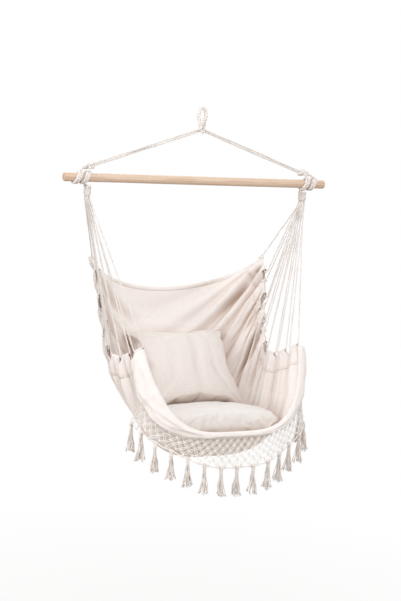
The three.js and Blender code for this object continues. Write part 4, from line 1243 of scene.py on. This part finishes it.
def wrinkled(local, half, creases, seed):
    """How far the cloth stands out: wrinkles run from the corners, and creases cross the face."""
    rand = random.Random(seed)
    amount = np.zeros(len(local))
    for cx, cy in ((sx * half[0], sy * half[1]) for sx in (-1, 1) for sy in (-1, 1)):
        dx, dy = local[:, 0] - cx, local[:, 1] - cy
        reach = np.hypot(dx, dy)
        angle = np.arctan2(dy, dx)
        wave = np.sin(angle * rand.uniform(15, 19) + rand.uniform(0, 6) + reach * 0.012)
        wave += 0.6 * np.sin(angle * rand.uniform(26, 31) + rand.uniform(0, 6))
        amount += CORNER_WAVE * wave * np.exp(-((reach - CORNER_REACH) / CORNER_SPREAD) ** 2)
    for x, y, length, width, depth, lean in creases:
        dx, dy = local[:, 0] - x, local[:, 1] - y
        along = dx * math.sin(lean) + dy * math.cos(lean)
        off = dx * math.cos(lean) - dy * math.sin(lean) + 5 * np.sin(along / 31 + seed)
        shape = np.exp(-(off / width) ** 2) - 0.45 * np.exp(-((off - 1.7 * width) / (1.1 * width)) ** 2)
        amount -= depth * shape * np.exp(-(along / length) ** 4) * (local[:, 2] > 0)
    return amount


def drawn_to_seam(points, normals, seam, place):
    """The seam is drawn out to an edge, and puckers run from it."""
    seam = Path(np.concatenate([seam, seam[:1]])).at(np.linspace(0, 1, SEAM_STEPS))
    out = points.copy()
    for start in range(0, len(out), BLOCK):
        block = out[start:start + BLOCK]
        gaps = np.linalg.norm(block[:, None] - seam[None], axis=2)
        nearest, gap = gaps.argmin(axis=1), gaps.min(axis=1)
        target = seam[nearest]
        pull = np.clip(1 - gap / SEAM_PULL_REACH, 0, 1) ** 1.6 * SEAM_PULL_SHARE
        edge = target + unit(target - place) * SEAM_FLANGE
        along = nearest / SEAM_STEPS * FULL_TURN
        fade = np.exp(-((gap - SEAM_PUCKER_PLACE) / SEAM_PUCKER_SPREAD) ** 2)
        pucker = SEAM_PUCKER * np.sin(along * 41 + 2 * np.sin(along * 9)) * fade
        block += (edge - block) * pull[:, None] + normals[start:start + BLOCK] * pucker[:, None]
    return out


def gap_on_way(place, other_tree, way):
    """The least gap in millimetres to the other cushion as the seat cushion is pulled out."""
    pull = Vector(CUSHION_PULL_AXIS) * (way * CUSHION_PULL * MM)
    slides = [pull * share for share in (0, 0.25, 0.5, 0.75, 1)]
    return min(other_tree.find_nearest(place + slide)[3] for slide in slides) / MM


def kept_clear(points, own_tree, other_tree, way):
    """No point stands into the canvas or the other cushion, nor far out of the frame's own solid."""
    out = points.copy()
    for i, point in enumerate(points):
        at = Vector(point)
        near, normal, _, _ = own_tree.find_nearest(at)
        off = (at - near).dot(normal)
        room = gap_on_way(near, other_tree, way) - CUSHION_PAIR_GAP
        most = min(CUSHION_FREE_SWELL, max(-CUSHION_MOST_SINK, room)) * MM
        free = max(most, 0)
        if off > 0 and (at - near).length > free:
            at = near + (at - near).normalized() * free
        if off > most and most < 0:
            at = near + normal * most
        near, normal, _, gap = canvas_tree.find_nearest(at)
        off = (at - near).dot(normal)
        if off < CUSHION_CANVAS_GAP * MM and gap < CUSHION_CANVAS_NEAR * MM:
            at = near + normal * CUSHION_CANVAS_GAP * MM
        out[i] = at
    return out


def on_surface(tree, points):
    return np.array([tree.find_nearest(Vector(point * MM))[0] for point in points]) / MM


def seam_cord(name, mesh, seam, place, body, other_tree, way):
    """The cord in the seam lies on the case, and sinks into it where the other cushion passes close."""
    tree = tree_of(mesh)
    welt = closed_ring(seam)
    for _ in range(SEAM_EASINGS):
        welt = closed_ring(eased_ring(on_surface(tree, welt)))
    welt = on_surface(tree, welt)
    sinks = []
    for point in welt:
        gap = gap_on_way(Vector(point * MM), other_tree, way)
        deeper = min(1, max(0, (SEAM_SINK_GAP - gap) / SEAM_SINK_FADE))
        sinks.append([SEAM_SINK + SEAM_DEEPER_SINK * deeper])
    welt = eased_ring(welt + unit(place - welt) * eased_ring(np.array(sinks)))
    edge = Bundle().rope(welt, SEAM_RADIUS, strands=2, pitch=9, sides=5, closed=True)
    edge.piece(f"{name}_seam", thread_cotton, body, "cushion")


def cushion(name, node, other, material, size, creases, seed, way):
    """A cushion on its own body; way is its direction as the seat cushion passes the back one."""
    obj = remeshed(name, node)
    mesh = obj.data
    inset = CUSHION_START_INSET * MM
    rest = values_of(mesh, "co") - values_of(mesh, "normal") * inset
    set_points(mesh, rest)
    set_points(mesh, simulated(obj, rest))
    seam, turn, place = seam_line(*size)
    points, normals = values_of(mesh, "co"), values_of(mesh, "normal")
    half = np.abs((seam - place) @ turn).max(axis=0)
    amount = wrinkled((points / MM - place) @ turn, half, creases, seed)
    moved = drawn_to_seam((points + normals * (amount * MM)[:, None]) / MM, normals, seam, place) * MM
    own_tree, other_tree = (tree_of(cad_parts[key].data) for key in (node, other))
    set_points(mesh, kept_clear(moved, own_tree, other_tree, way))
    relaxed(obj, 0.4, 1)
    finer = obj.modifiers.new("finer", "SUBSURF")
    finer.levels = 1
    finer.render_levels = 1
    obj = dressed(applied(obj), material, node, (node,))
    seam_cord(name, obj.data, seam, place, node, other_tree, way)


cushion("back_pillow", "back_cushion", "seat_cushion", cushion_cloth,
        (BACK_CUSHION_WIDTH, BACK_CUSHION_LENGTH, BACK_CUSHION_LEAN, BACK_CUSHION_CENTRE_SHARES),
        BACK_CREASES, 3, -1)
cushion("seat_pillow", "seat_cushion", "back_cushion", seat_cloth,
        (SEAT_CUSHION_WIDTH, SEAT_CUSHION_LENGTH, SEAT_CUSHION_LEAN, SEAT_CUSHION_CENTRE_SHARES),
        SEAT_CREASES, 8, 1)


# Skirt: the header cord lies along the front hem, and the hem cord hangs below it
SKIRT_RADIUS = 2.5
NET_COLUMNS = 56
NET_ROWS = 6
NET_KNOT_HALF = 3
SKIRT_HALF_WIDTH = 318
SKIRT_DEPTH = 163
SKIRT_FRONT_REACH = 403
SKIRT_DROP = 921
SKIRT_RISE = 128
SKIRT_TOP_SHARE = 0.975
SKIRT_BULGE = 12
SKIRT_HEM_SHARES = (
    (1, 1, 1), (0.968, 0.69, 0.875), (0.886, 0.485, 0.68), (0.742, 0.35, 0.49),
    (0.57, 0.19, 0.285), (0.392, 0.04, 0.11), (0.196, 0, 0.02), (0, 0.01, 0))
TASSELS = 15
TASSEL_LENGTH = 106
TASSEL_HEAD_RISE = 6.3
TASSEL_HEAD_HALF = 9.85
TASSEL_HEAD_REACH = 8.2
HEADER_HALF_WIDTH = 269
HEADER_STANDOFF = 3.2
HEM_SLACK = 2.6
END_STANDOFF = 1.5
TOP_KNOT_GAP = 0.8
FOOT_KNOT_GAP = 0.4


def header_line():
    columns = np.linspace(0, WIDE_STEPS, 400)
    edge = on_grid(canvas_grid, np.ones(400), columns)
    inside = on_grid(canvas_grid, np.full(400, 0.98), columns)
    line = edge + unit(edge - inside) * HEADER_STANDOFF
    return Path(smoothed(line[np.abs(line[:, 0]) < HEADER_HALF_WIDTH], 6))


def hem_curve():
    size = np.array([SKIRT_HALF_WIDTH, SKIRT_DEPTH, SKIRT_RISE])
    half = np.array(SKIRT_HEM_SHARES) * size + [0, -SKIRT_FRONT_REACH, BAR_Z - SKIRT_DROP]
    return Path(eased_curve(np.concatenate([half * [-1, 1, 1], half[:-1][::-1]]), 2800))


def hem_line():
    """Straight through each tassel's head, and hanging a little slack from one to the next."""
    points = []
    for at, along in tassel_places:
        start, end = at - along * TASSEL_HEAD_HALF, at + along * TASSEL_HEAD_HALF
        if points:
            before = points[-1]
            points += [before * (1 - t) + start * t - UP * HEM_SLACK * 4 * t * (1 - t)
                       for t in np.linspace(0, 1, 12)[1:-1]]
        points += [start, end]
    return Path(points)


header = header_line()
hem_smooth = hem_curve()
tassel_places = [(hem_smooth.at(share), hem_smooth.heading(share, 1e-4))
                 for share in np.linspace(0, 1, TASSELS)]
hem_cord = hem_line()


def header_share(along):
    return (1 - SKIRT_TOP_SHARE) / 2 + SKIRT_TOP_SHARE * along


def skirt_point(along, down):
    place = header.at(header_share(along)) * (1 - down) + hem_cord.at(along) * down
    place[0] += (2 * along - 1) ** 3 * SKIRT_BULGE * math.sin(math.pi * math.sqrt(max(down, 0)))
    return place


def skirt_height(along):
    return np.linalg.norm(skirt_point(along, 1) - skirt_point(along, 0))


def slanted(path, share, run, room):
    return room / max(0.35, np.linalg.norm(np.cross(path.heading(share, 0.004), run)))


def tassel_gap(foot):
    return min(np.linalg.norm(at - foot) for at, _ in tassel_places)


def net_knot(row, column):
    """A knot's place, at even steps between the header cord and what hangs below."""
    along = column / NET_COLUMNS
    foot = skirt_point(along, 1)
    height = skirt_height(along)
    run = (foot - skirt_point(along, 0)) / height
    below = TASSEL_HEAD_REACH if tassel_gap(foot) < TASSEL_HEAD_HALF + NET_KNOT_HALF else SKIRT_RADIUS
    start = slanted(header, along, run, SKIRT_RADIUS + NET_KNOT_HALF + TOP_KNOT_GAP) / height
    end = 1 - slanted(hem_cord, along, run, below + NET_KNOT_HALF + FOOT_KNOT_GAP) / height
    return skirt_point(along, start + (end - start) * row / NET_ROWS)


def skirt_ways(along, down):
    """The directions along the skirt, down it and off it."""
    right = unit(skirt_point(min(1, along + 0.01), down) - skirt_point(max(0, along - 0.01), down))
    fall = unit(skirt_point(along, min(1, down + 0.05)) - skirt_point(along, max(0, down - 0.05)))
    return right, fall, unit(np.cross(right, fall)) * -1


def end_point(end, down):
    """A place on the cord down the skirt's end."""
    low = 1 - (TASSEL_HEAD_REACH + SKIRT_RADIUS) / skirt_height(end)
    place = skirt_point(end, min(max(down, 0.02), low))
    place[1] -= END_STANDOFF * (1 - down)
    return place


# Front hem: the canvas is turned over the header cord and hangs outside it, widest beside the front tabs
FLAP_WIDTHS = (
    (0, 22), (0.05, 42), (0.12, 56), (0.2, 56), (0.28, 36), (0.36, 15), (0.43, 7.5), (0.57, 7.5),
    (0.66, 10), (0.76, 17), (0.88, 26), (0.95, 26), (1, 18))
FLAP_OFF = 6.4
FLAP_OFF_AT_ENDS = 8.2
FLAP_ROWS = 15
FLAP_COLUMNS = 241
FLAP_THICKNESS = 1.5
FLAP_WIDTH_SHARE = 0.985
FLAP_SEWN_WIDTH = 13
FLAP_END_GAP = 4
# Each row of the flap's inner side: inward from the canvas's edge, and off it
FLAP_INNER = ((10, 1.4), (6, 2.0), (2.5, 3.2))
# Each crest along the flap: height, place down it, waves along it, where they start, and width
FLAP_CRESTS = ((4.6, 0.52, 15, 0.4, 0.15), (3.4, 0.42, 23, 2.6, 0.11))
EDGING_LOOP_LENGTH = 9.5
EDGING_RADIUS = 0.95
EDGING_ROLL_RADIUS = 1.45


def flap_station(share):
    """Points across the flap at a share along the front edge, and the direction it faces."""
    column = HALF_STEPS * (1 + FLAP_WIDTH_SHARE * (2 * share - 1))
    edge, normal = canvas_at(1.0, column)
    inside = unit(on_grid(canvas_grid, 0.985, column) - edge)
    nearest = int(np.linalg.norm(header.points - edge, axis=1).argmin())
    cord = header.points[nearest]
    along = min(1.0, max(0.0, (nearest / (len(header.points) - 1) - 0.0125) / SKIRT_TOP_SHARE))
    beyond = edge + unit(edge - on_grid(canvas_grid, 0.98, column)) * HEADER_STANDOFF - cord
    if np.linalg.norm(beyond) > FLAP_END_GAP:
        cord = edge
    out = skirt_ways(along, 0.12)[2]
    off = FLAP_OFF_AT_ENDS if min(along, 1 - along) < 0.06 else FLAP_OFF
    row = [edge + inside * inward + normal * lift for inward, lift in FLAP_INNER]
    row += [cord + normal * off * 0.96, cord + unit(normal + out) * off, cord + out * off]
    width = float(np.interp(share, *zip(*FLAP_WIDTHS)))
    height = skirt_height(along)
    flute = 3.2 * math.sin(53 * share + 2 * math.sin(9 * share)) + 1.9 * math.sin(97 * share + 1)
    for low in np.linspace(0, 1, FLAP_ROWS + 1)[1:]:
        drop = skirt_point(along, width * low / height) - skirt_point(along, 0)
        crests = sum(rise * math.exp(-((low - place - 0.3 * math.sin(waves * share + start)) / spread) ** 2)
                     for rise, place, waves, start, spread in FLAP_CRESTS)
        lift = off + min(1.0, width / 40) * (crests + (1.4 + flute) * low ** 1.5)
        row.append(cord + drop + out * lift)
    return row, out


def front_flap():
    shares = np.linspace(0, 1, FLAP_COLUMNS)
    rows, outs = (np.array(part) for part in zip(*(flap_station(share) for share in shares)))
    rows = smoothed(rows, 4)
    flap = Bundle().sheet(rows).piece("front_hem", canvas_cloth, "seat", "canvas")
    thickened(flap, FLAP_THICKNESS)
    up = unit(np.cross(np.gradient(rows[:, 0], axis=0), rows[:, 0] - rows[:, 1]))
    seams = [(rows[:, 0] * 0.45 + rows[:, 1] * 0.55 + up * 0.7, up)]
    sewn = np.interp(shares, *zip(*FLAP_WIDTHS)) > FLAP_SEWN_WIDTH
    low = rows[:, -2] + outs * 0.8
    seams += [(low[part], outs[part]) for part in (sewn & (shares < 0.5), sewn & (shares > 0.5))]
    stitches = seam_piece("front_hem_stitches", seams)
    rim = Path(rows[:, -1])
    roll, loops = [], []
    for t in np.linspace(0.004, 0.996, 1100):
        out = outs[int(round(t * (len(outs) - 1)))]
        swing = math.pi * t * rim.length / EDGING_LOOP_LENGTH
        roll.append(rim.at(t))
        low = 2.0 + 3.4 * abs(math.sin(swing))
        loops.append(roll[-1] + out * (0.4 + 0.9 * math.cos(2 * swing)) - UP * low)
    edging = Bundle().tube(roll[::3], EDGING_ROLL_RADIUS, 7).tube(loops, EDGING_RADIUS, 5)
    return [flap, stitches, edging.piece("front_hem_edging", macrame_cotton, "seat", "macrame")]


# Net: doubled cords that slant from knot to knot, tied to the header, the hem and the cords down the ends
KNOT_SIZE = 2.8
END_KNOT_SIZE = 4.2
KNOT_CORD = 0.95
NET_CORD = 1.2
NET_CORD_GAP = 0.75
NET_CORD_SPREAD = 3.2
TIE_SPREAD_TOP = 0.6
TIE_SPREAD_FOOT = 0.5
TIE_APART_TOP = 2.1
TIE_APART_FOOT = 1.9
TIE_TILT = 0.8
TIE_STANDOFF = 0.85
TIE_TASSEL_ROOM = 2
FULL_SPREAD_LENGTH = 26
NET_END_COLUMNS = 18


def small_knot(bundle, center, ways, size):
    """A square knot: a filled oval with two cords tied across it."""
    right, fall, out = ways
    bundle.add(*oval_ball(center, right * size * 0.82, out * size * 0.66, fall * size, 5, 8))
    for lift, lean in ((-0.42, 0.5), (0.42, -0.5)):
        ring = [center + fall * size * (lift + lean * math.cos(a) * 0.5) + right * size * 0.86 * math.cos(a)
                + out * size * 0.78 * math.sin(a) for a in turns_of(12)]
        bundle.tube(ring, KNOT_CORD, 5, closed=True)


def doubled_cord(bundle, start, end, out, seed, spread=NET_CORD_SPREAD):
    """Two cords from knot to knot, which part a little between them."""
    run = unit(end - start)
    side = unit(np.cross(run, out))
    parted = spread * min(1, np.linalg.norm(end - start) / FULL_SPREAD_LENGTH)
    for sign in (-1, 1):
        path = []
        for t in np.linspace(0, 1, 7):
            bow = math.sin(math.pi * t)
            sway = 0.35 * math.sin(2.1 * seed + 5 * t)
            path.append(start + (end - start) * t + side * sign * (NET_CORD_GAP + parted * bow)
                        + out * (0.5 * sign * math.cos(math.pi * t) + sway * bow))
        bundle.tube(path, NET_CORD, 6)


def tied(bundle, path, share, apart):
    """Two turns of cord round a cord of the skirt."""
    along = path.heading(share, 0.003)
    side = unit(np.cross(along, UP))
    up = np.cross(side, along)
    for offset in (-apart, apart):
        center = path.at(share) + along * offset
        ring = [center + (side * math.cos(a) + up * math.sin(a)) * (SKIRT_RADIUS + TIE_STANDOFF)
                + along * TIE_TILT * math.sin(a) for a in turns_of(14)]
        bundle.tube(ring, KNOT_CORD, 5, closed=True)


def net_part(name, first, last):
    net = Bundle()
    for row in range(NET_ROWS + 1):
        for column in range(first, last + 1):
            if (row + column) % 2 == 0:
                continue
            along = column / NET_COLUMNS
            at = net_knot(row, column)
            ways = skirt_ways(along, row / NET_ROWS)
            out = ways[2]
            if not (column == first and first > 1):
                small_knot(net, at, ways, KNOT_SIZE)
            for beside in (column - 1, column + 1):
                if row < NET_ROWS and first <= beside <= last:
                    doubled_cord(net, at, net_knot(row + 1, beside), out, 7 * row + column)
                elif row < NET_ROWS and beside in (0, NET_COLUMNS):
                    doubled_cord(net, at, end_point(beside // NET_COLUMNS, (row + 1) / NET_ROWS), out, row)
            if row % 2 == 0 and column in (1, NET_COLUMNS - 1) and row:
                doubled_cord(net, end_point(0 if column == 1 else 1, (row - 1) / NET_ROWS), at, out, row)
            if row == 0:
                tied(net, header, header_share(along), TIE_APART_TOP)
                doubled_cord(net, header.at(header_share(along)), at, out, column, TIE_SPREAD_TOP)
            if row == NET_ROWS and tassel_gap(hem_cord.at(along)) > TASSEL_HEAD_HALF + TIE_TASSEL_ROOM:
                tied(net, hem_cord, along, TIE_APART_FOOT)
                doubled_cord(net, at, hem_cord.at(along), out, column, TIE_SPREAD_FOOT)
    net.piece(f"net_{name}", macrame_cotton, "seat", "macrame", (f"skirt_net_{name}",))


def end_cord(name, end):
    path = [end_point(end, d) for d in np.linspace(0.03, 1, 40)]
    cord = Bundle().rope(path, SKIRT_RADIUS, pitch=14, sides=6, step=2)
    for row in range(1, NET_ROWS, 2):
        down = row / NET_ROWS
        small_knot(cord, end_point(end, down), skirt_ways(end, down), END_KNOT_SIZE)
    cord.piece(f"skirt_edge_{name}", macrame_cotton, "seat", "macrame", (f"skirt_end_cord_{name}",))


hems = front_flap() + rear_hems
net_part("left", 1, NET_END_COLUMNS)
net_part("front", NET_END_COLUMNS, NET_COLUMNS - NET_END_COLUMNS)
net_part("right", NET_COLUMNS - NET_END_COLUMNS, NET_COLUMNS - 1)
for side_name, end_share in (("left", 0), ("right", 1)):
    end_cord(side_name, end_share)
for piece_name, line, node_name in (("skirt_top_cord", header, "skirt_header_cord"),
                                    ("skirt_foot_cord", hem_cord, "skirt_hem_cord")):
    long_cord = Bundle().rope(line.points, SKIRT_RADIUS, pitch=15, sides=6, step=2.4)
    long_cord.piece(piece_name, macrame_cotton, "seat", "macrame", (node_name,))


# Tassels: cords folded over the hem cord, bound at the neck, and frayed out at the foot
TASSEL_SEED = 100
TASSEL_NECK = 15
TASSEL_FOLDS = 5
FOLD_SPACING = 2.7
FOLD_STANDOFF = 1.75
FOLD_RADIUS = 1.45
FOLD_BULGE = 1.2
FOLD_NARROWING_SHARE = 0.42
NECK_WIND_HALF = (5.2, 4.8)
NECK_WIND_BULGE = 0.5
NECK_WIND_LENGTH = 6.5
NECK_WIND_TURNS = 4
NECK_WIND_RADIUS = 0.95
NECK_CORE_RADIUS = 4.6
NECK_CORE_RISE = 2
NECK_CORE_DROP = 7.5
TASSEL_LEAN = 2.2
TASSEL_STRANDS = 17
STRAND_TURN = 2.39996
STRAND_RADIUS = 1.7
STRAND_START = 4.4
STRAND_FLARE = 14.5
STRAND_OVERLAP = 2
TASSEL_FRAYS = 5
FRAY_LENGTH = 7
FRAY_SPREAD = 1.9
FRAY_RADII = (0.75, 0.7, 0.4)


def fold_path(at, along, side, shift, neck):
    """A cord over the hem cord, with both its legs drawn in to the neck."""
    fold = SKIRT_RADIUS + FOLD_STANDOFF
    path = []
    for t in np.linspace(-1, 1, 19):
        if abs(t) < 0.5:
            a = t * math.pi
            over = side * math.sin(a) + np.cross(side, along) * math.cos(a)
            path.append(at + along * shift + over * fold)
        else:
            fall = (abs(t) - 0.5) / 0.5
            narrow = 1 - FOLD_NARROWING_SHARE * fall
            reach = math.copysign(fold + FOLD_BULGE * math.sin(math.pi * fall), t)
            path.append(at + (along * shift + side * reach) * narrow - UP * neck * fall)
    return smoothed(path, 1)


def neck_radii(share):
    return [half + NECK_WIND_BULGE * math.sin(math.pi * share) for half in NECK_WIND_HALF]


def tassel(index, at, along):
    rand = random.Random(TASSEL_SEED + index)
    made = Bundle()
    side = unit(np.cross(along, UP))
    flat = unit(along * np.array([1, 1, 0]))
    aside = np.cross(flat, -UP)
    neck = TASSEL_NECK + rand.uniform(-1, 1)
    for k in range(TASSEL_FOLDS):
        shift = (k - (TASSEL_FOLDS - 1) / 2) * FOLD_SPACING
        made.tube(fold_path(at, along, side, shift, neck), FOLD_RADIUS, 6)
    neck_at = at - UP * neck
    wound = np.array(winding((0, 0), neck_radii, 0, -NECK_WIND_LENGTH, NECK_WIND_TURNS, 18))
    made.tube(neck_at + wound @ np.array([flat, aside, UP]), NECK_WIND_RADIUS, 5)
    made.tube([neck_at + UP * NECK_CORE_RISE, neck_at - UP * NECK_CORE_DROP], NECK_CORE_RADIUS, 10)
    length = TASSEL_LENGTH - TASSEL_HEAD_RISE
    lean = np.array([rand.uniform(-1, 1), rand.uniform(-1, 1), 0]) * TASSEL_LEAN
    for k in range(TASSEL_STRANDS):
        ring = math.sqrt((k + 0.5) / TASSEL_STRANDS)
        angle = k * STRAND_TURN + rand.uniform(-0.25, 0.25)
        across = flat * math.cos(angle) + aside * math.sin(angle)
        beside = np.cross(across, -UP)
        flare = rand.uniform(0.62, 1.0)
        end = length - 9 - rand.uniform(0, 11)
        bend = rand.uniform(0, 6.28)
        curl = rand.uniform(1.2, 3.0)
        start = neck + STRAND_OVERLAP
        path = []
        for t in np.linspace(0, 1, 14):
            spread = STRAND_START + STRAND_FLARE * (0.45 * t + 0.55 * t ** 1.6) * flare
            sway = curl * math.sin(bend + 7.5 * t) * min(1, 2.2 * t)
            path.append(at - UP * (start + (end - start) * t) + across * (spread * ring + 0.5 * sway)
                        + beside * sway + lean * t ** 2)
        made.rope(path, STRAND_RADIUS, strands=2, pitch=11, sides=5, step=2.4, phase=k)
        tip = path[-1]
        heading = unit(tip - path[-2])
        for turn in turns_of(TASSEL_FRAYS) + bend:
            way = across * math.cos(turn) + beside * math.sin(turn)
            reach = FRAY_LENGTH + rand.uniform(0, 5)
            parted = (FRAY_SPREAD + rand.uniform(0, 1.3)) * (0.6 + 0.4 * ring)
            made.tube([tip - heading * 2 + way * 0.7, tip + heading * reach * 0.4 + way * 1.1,
                       tip + heading * reach + way * parted], FRAY_RADII, 4)
    number = f"{index + 1:02d}"
    made.piece(f"fringe_{number}", tassel_cotton, f"tassel_{number}", "macrame", (f"tassel_{number}",))


for tassel_index, (head_place, head_along) in enumerate(tassel_places):
    tassel(tassel_index, head_place, head_along)


# Studio: a pale floor well below the chair, soft lamps, and a white ground for what looks past it
FLOOR_Z = -2050
FLOOR_HALF = 14000
FLOOR_NEAR_WHITE = 0.88
# The sky's light: from and to these heights, and its strength there
SKY_HEIGHTS = (-0.6, 0.5)
SKY_STRENGTHS = (0.18, 0.74)


def floor_material():
    s = Shader("studio floor")
    place = s.stretched((0.25, 0.25, 0.0))
    gradient = s.node("ShaderNodeTexGradient", {"Vector": place}, gradient_type="SPHERICAL")
    far = s.math("SUBTRACT", 1.0, gradient.outputs["Fac"])
    near_share = s.ramp(far, [(0.1, (FLOOR_NEAR_WHITE,) * 3), (0.6, (1, 1, 1))])
    white = s.node("ShaderNodeEmission", {"Color": (1, 1, 1), "Strength": 1.0})
    share = s.math("MULTIPLY", s.seen_directly(), near_share)
    blend = s.node("ShaderNodeMixShader", {0: share, 1: s.shader.outputs[0], 2: white.outputs[0]})
    s.feed(s.nodes["Material Output"].inputs["Surface"], blend.outputs[0])
    return s.done((0.49, 0.45, 0.41), 0.9, specular=0.1)


def studio():
    mesh = bpy.data.meshes.new("floor")
    corners = [(x * FLOOR_HALF * MM, y * FLOOR_HALF * MM, FLOOR_Z * MM)
               for x, y in ((-1, -1), (1, -1), (1, 1), (-1, 1))]
    mesh.from_pydata(corners, [], [(0, 1, 2, 3)])
    floor = added("floor", mesh)
    mesh.materials.append(floor_material())
    world = bpy.data.worlds.new("studio")
    bpy.context.scene.world = world
    world.use_nodes = True
    w = Nodes(world.node_tree)
    place = w.node("ShaderNodeTexCoord").outputs["Generated"]
    level = w.node("ShaderNodeMapRange", {
        "Value": w.node("ShaderNodeSeparateXYZ", {0: place}).outputs["Z"],
        "From Min": SKY_HEIGHTS[0], "From Max": SKY_HEIGHTS[1],
        "To Min": SKY_STRENGTHS[0], "To Max": SKY_STRENGTHS[1]})
    back = w.nodes["Background"]
    w.feed(back.inputs["Color"], (1, 1, 1))
    w.feed(back.inputs["Strength"], level.outputs["Result"])
    seen = w.node("ShaderNodeBackground", {"Color": (1, 1, 1)})
    mix = w.node("ShaderNodeMixShader", {0: w.seen_directly(), 1: back.outputs[0], 2: seen.outputs[0]})
    w.feed(w.nodes["World Output"].inputs["Surface"], mix.outputs[0])


def lamp(name, place, target, size, power):
    light = bpy.data.lights.new(name, "AREA")
    light.shape = "DISK"
    light.size = size
    light.energy = power
    light.color = (1, 1, 1)
    obj = added(name, light)
    obj.location = place
    obj.rotation_euler = (Vector(target) - Vector(place)).to_track_quat("-Z", "Y").to_euler()


def camera():
    azimuth, pitch, roll = (math.radians(v) for v in (CAMERA_AZIMUTH, CAMERA_PITCH, CAMERA_ROLL))
    yaw = azimuth + math.radians(CAMERA_AIM)
    reach = CAMERA_DISTANCE
    place = Vector((math.sin(azimuth) * reach, -math.cos(azimuth) * reach, CAMERA_HEIGHT)) * MM
    level = math.cos(pitch)
    forward = Vector((-math.sin(yaw) * level, math.cos(yaw) * level, -math.sin(pitch)))
    right = forward.cross(Vector((0, 0, 1))).normalized()
    up = right.cross(forward)
    level_right = right * math.cos(roll) + up * math.sin(roll)
    level_up = up * math.cos(roll) - right * math.sin(roll)
    data = bpy.data.cameras.new("camera")
    data.sensor_width = SENSOR
    data.lens = FOCAL_PIXELS * SENSOR / FRAME_HEIGHT_PIXELS
    data.clip_end = CAMERA_REACH_M
    obj = added("camera", data)
    turn = Matrix((level_right, level_up, -forward)).transposed().to_4x4()
    obj.matrix_world = Matrix.Translation(place) @ turn
    bpy.context.scene.camera = obj


studio()
# Each lamp: place, target, size and power, in metres and watts
lamp("key", (-1.6, -3.2, 2.2), (0, 0, -0.85), 1.3, 88)
lamp("fill", (3.2, -2.6, 0.2), (0, 0, -0.9), 2.6, 26)
lamp("side", (-3.6, -0.6, 0.0), (0, 0, -0.9), 2.4, 44)
lamp("rim", (0.8, 3.0, 1.6), (0, 0, -0.7), 2.4, 45)
camera()
bpy.context.scene.view_settings.view_transform = "Standard"
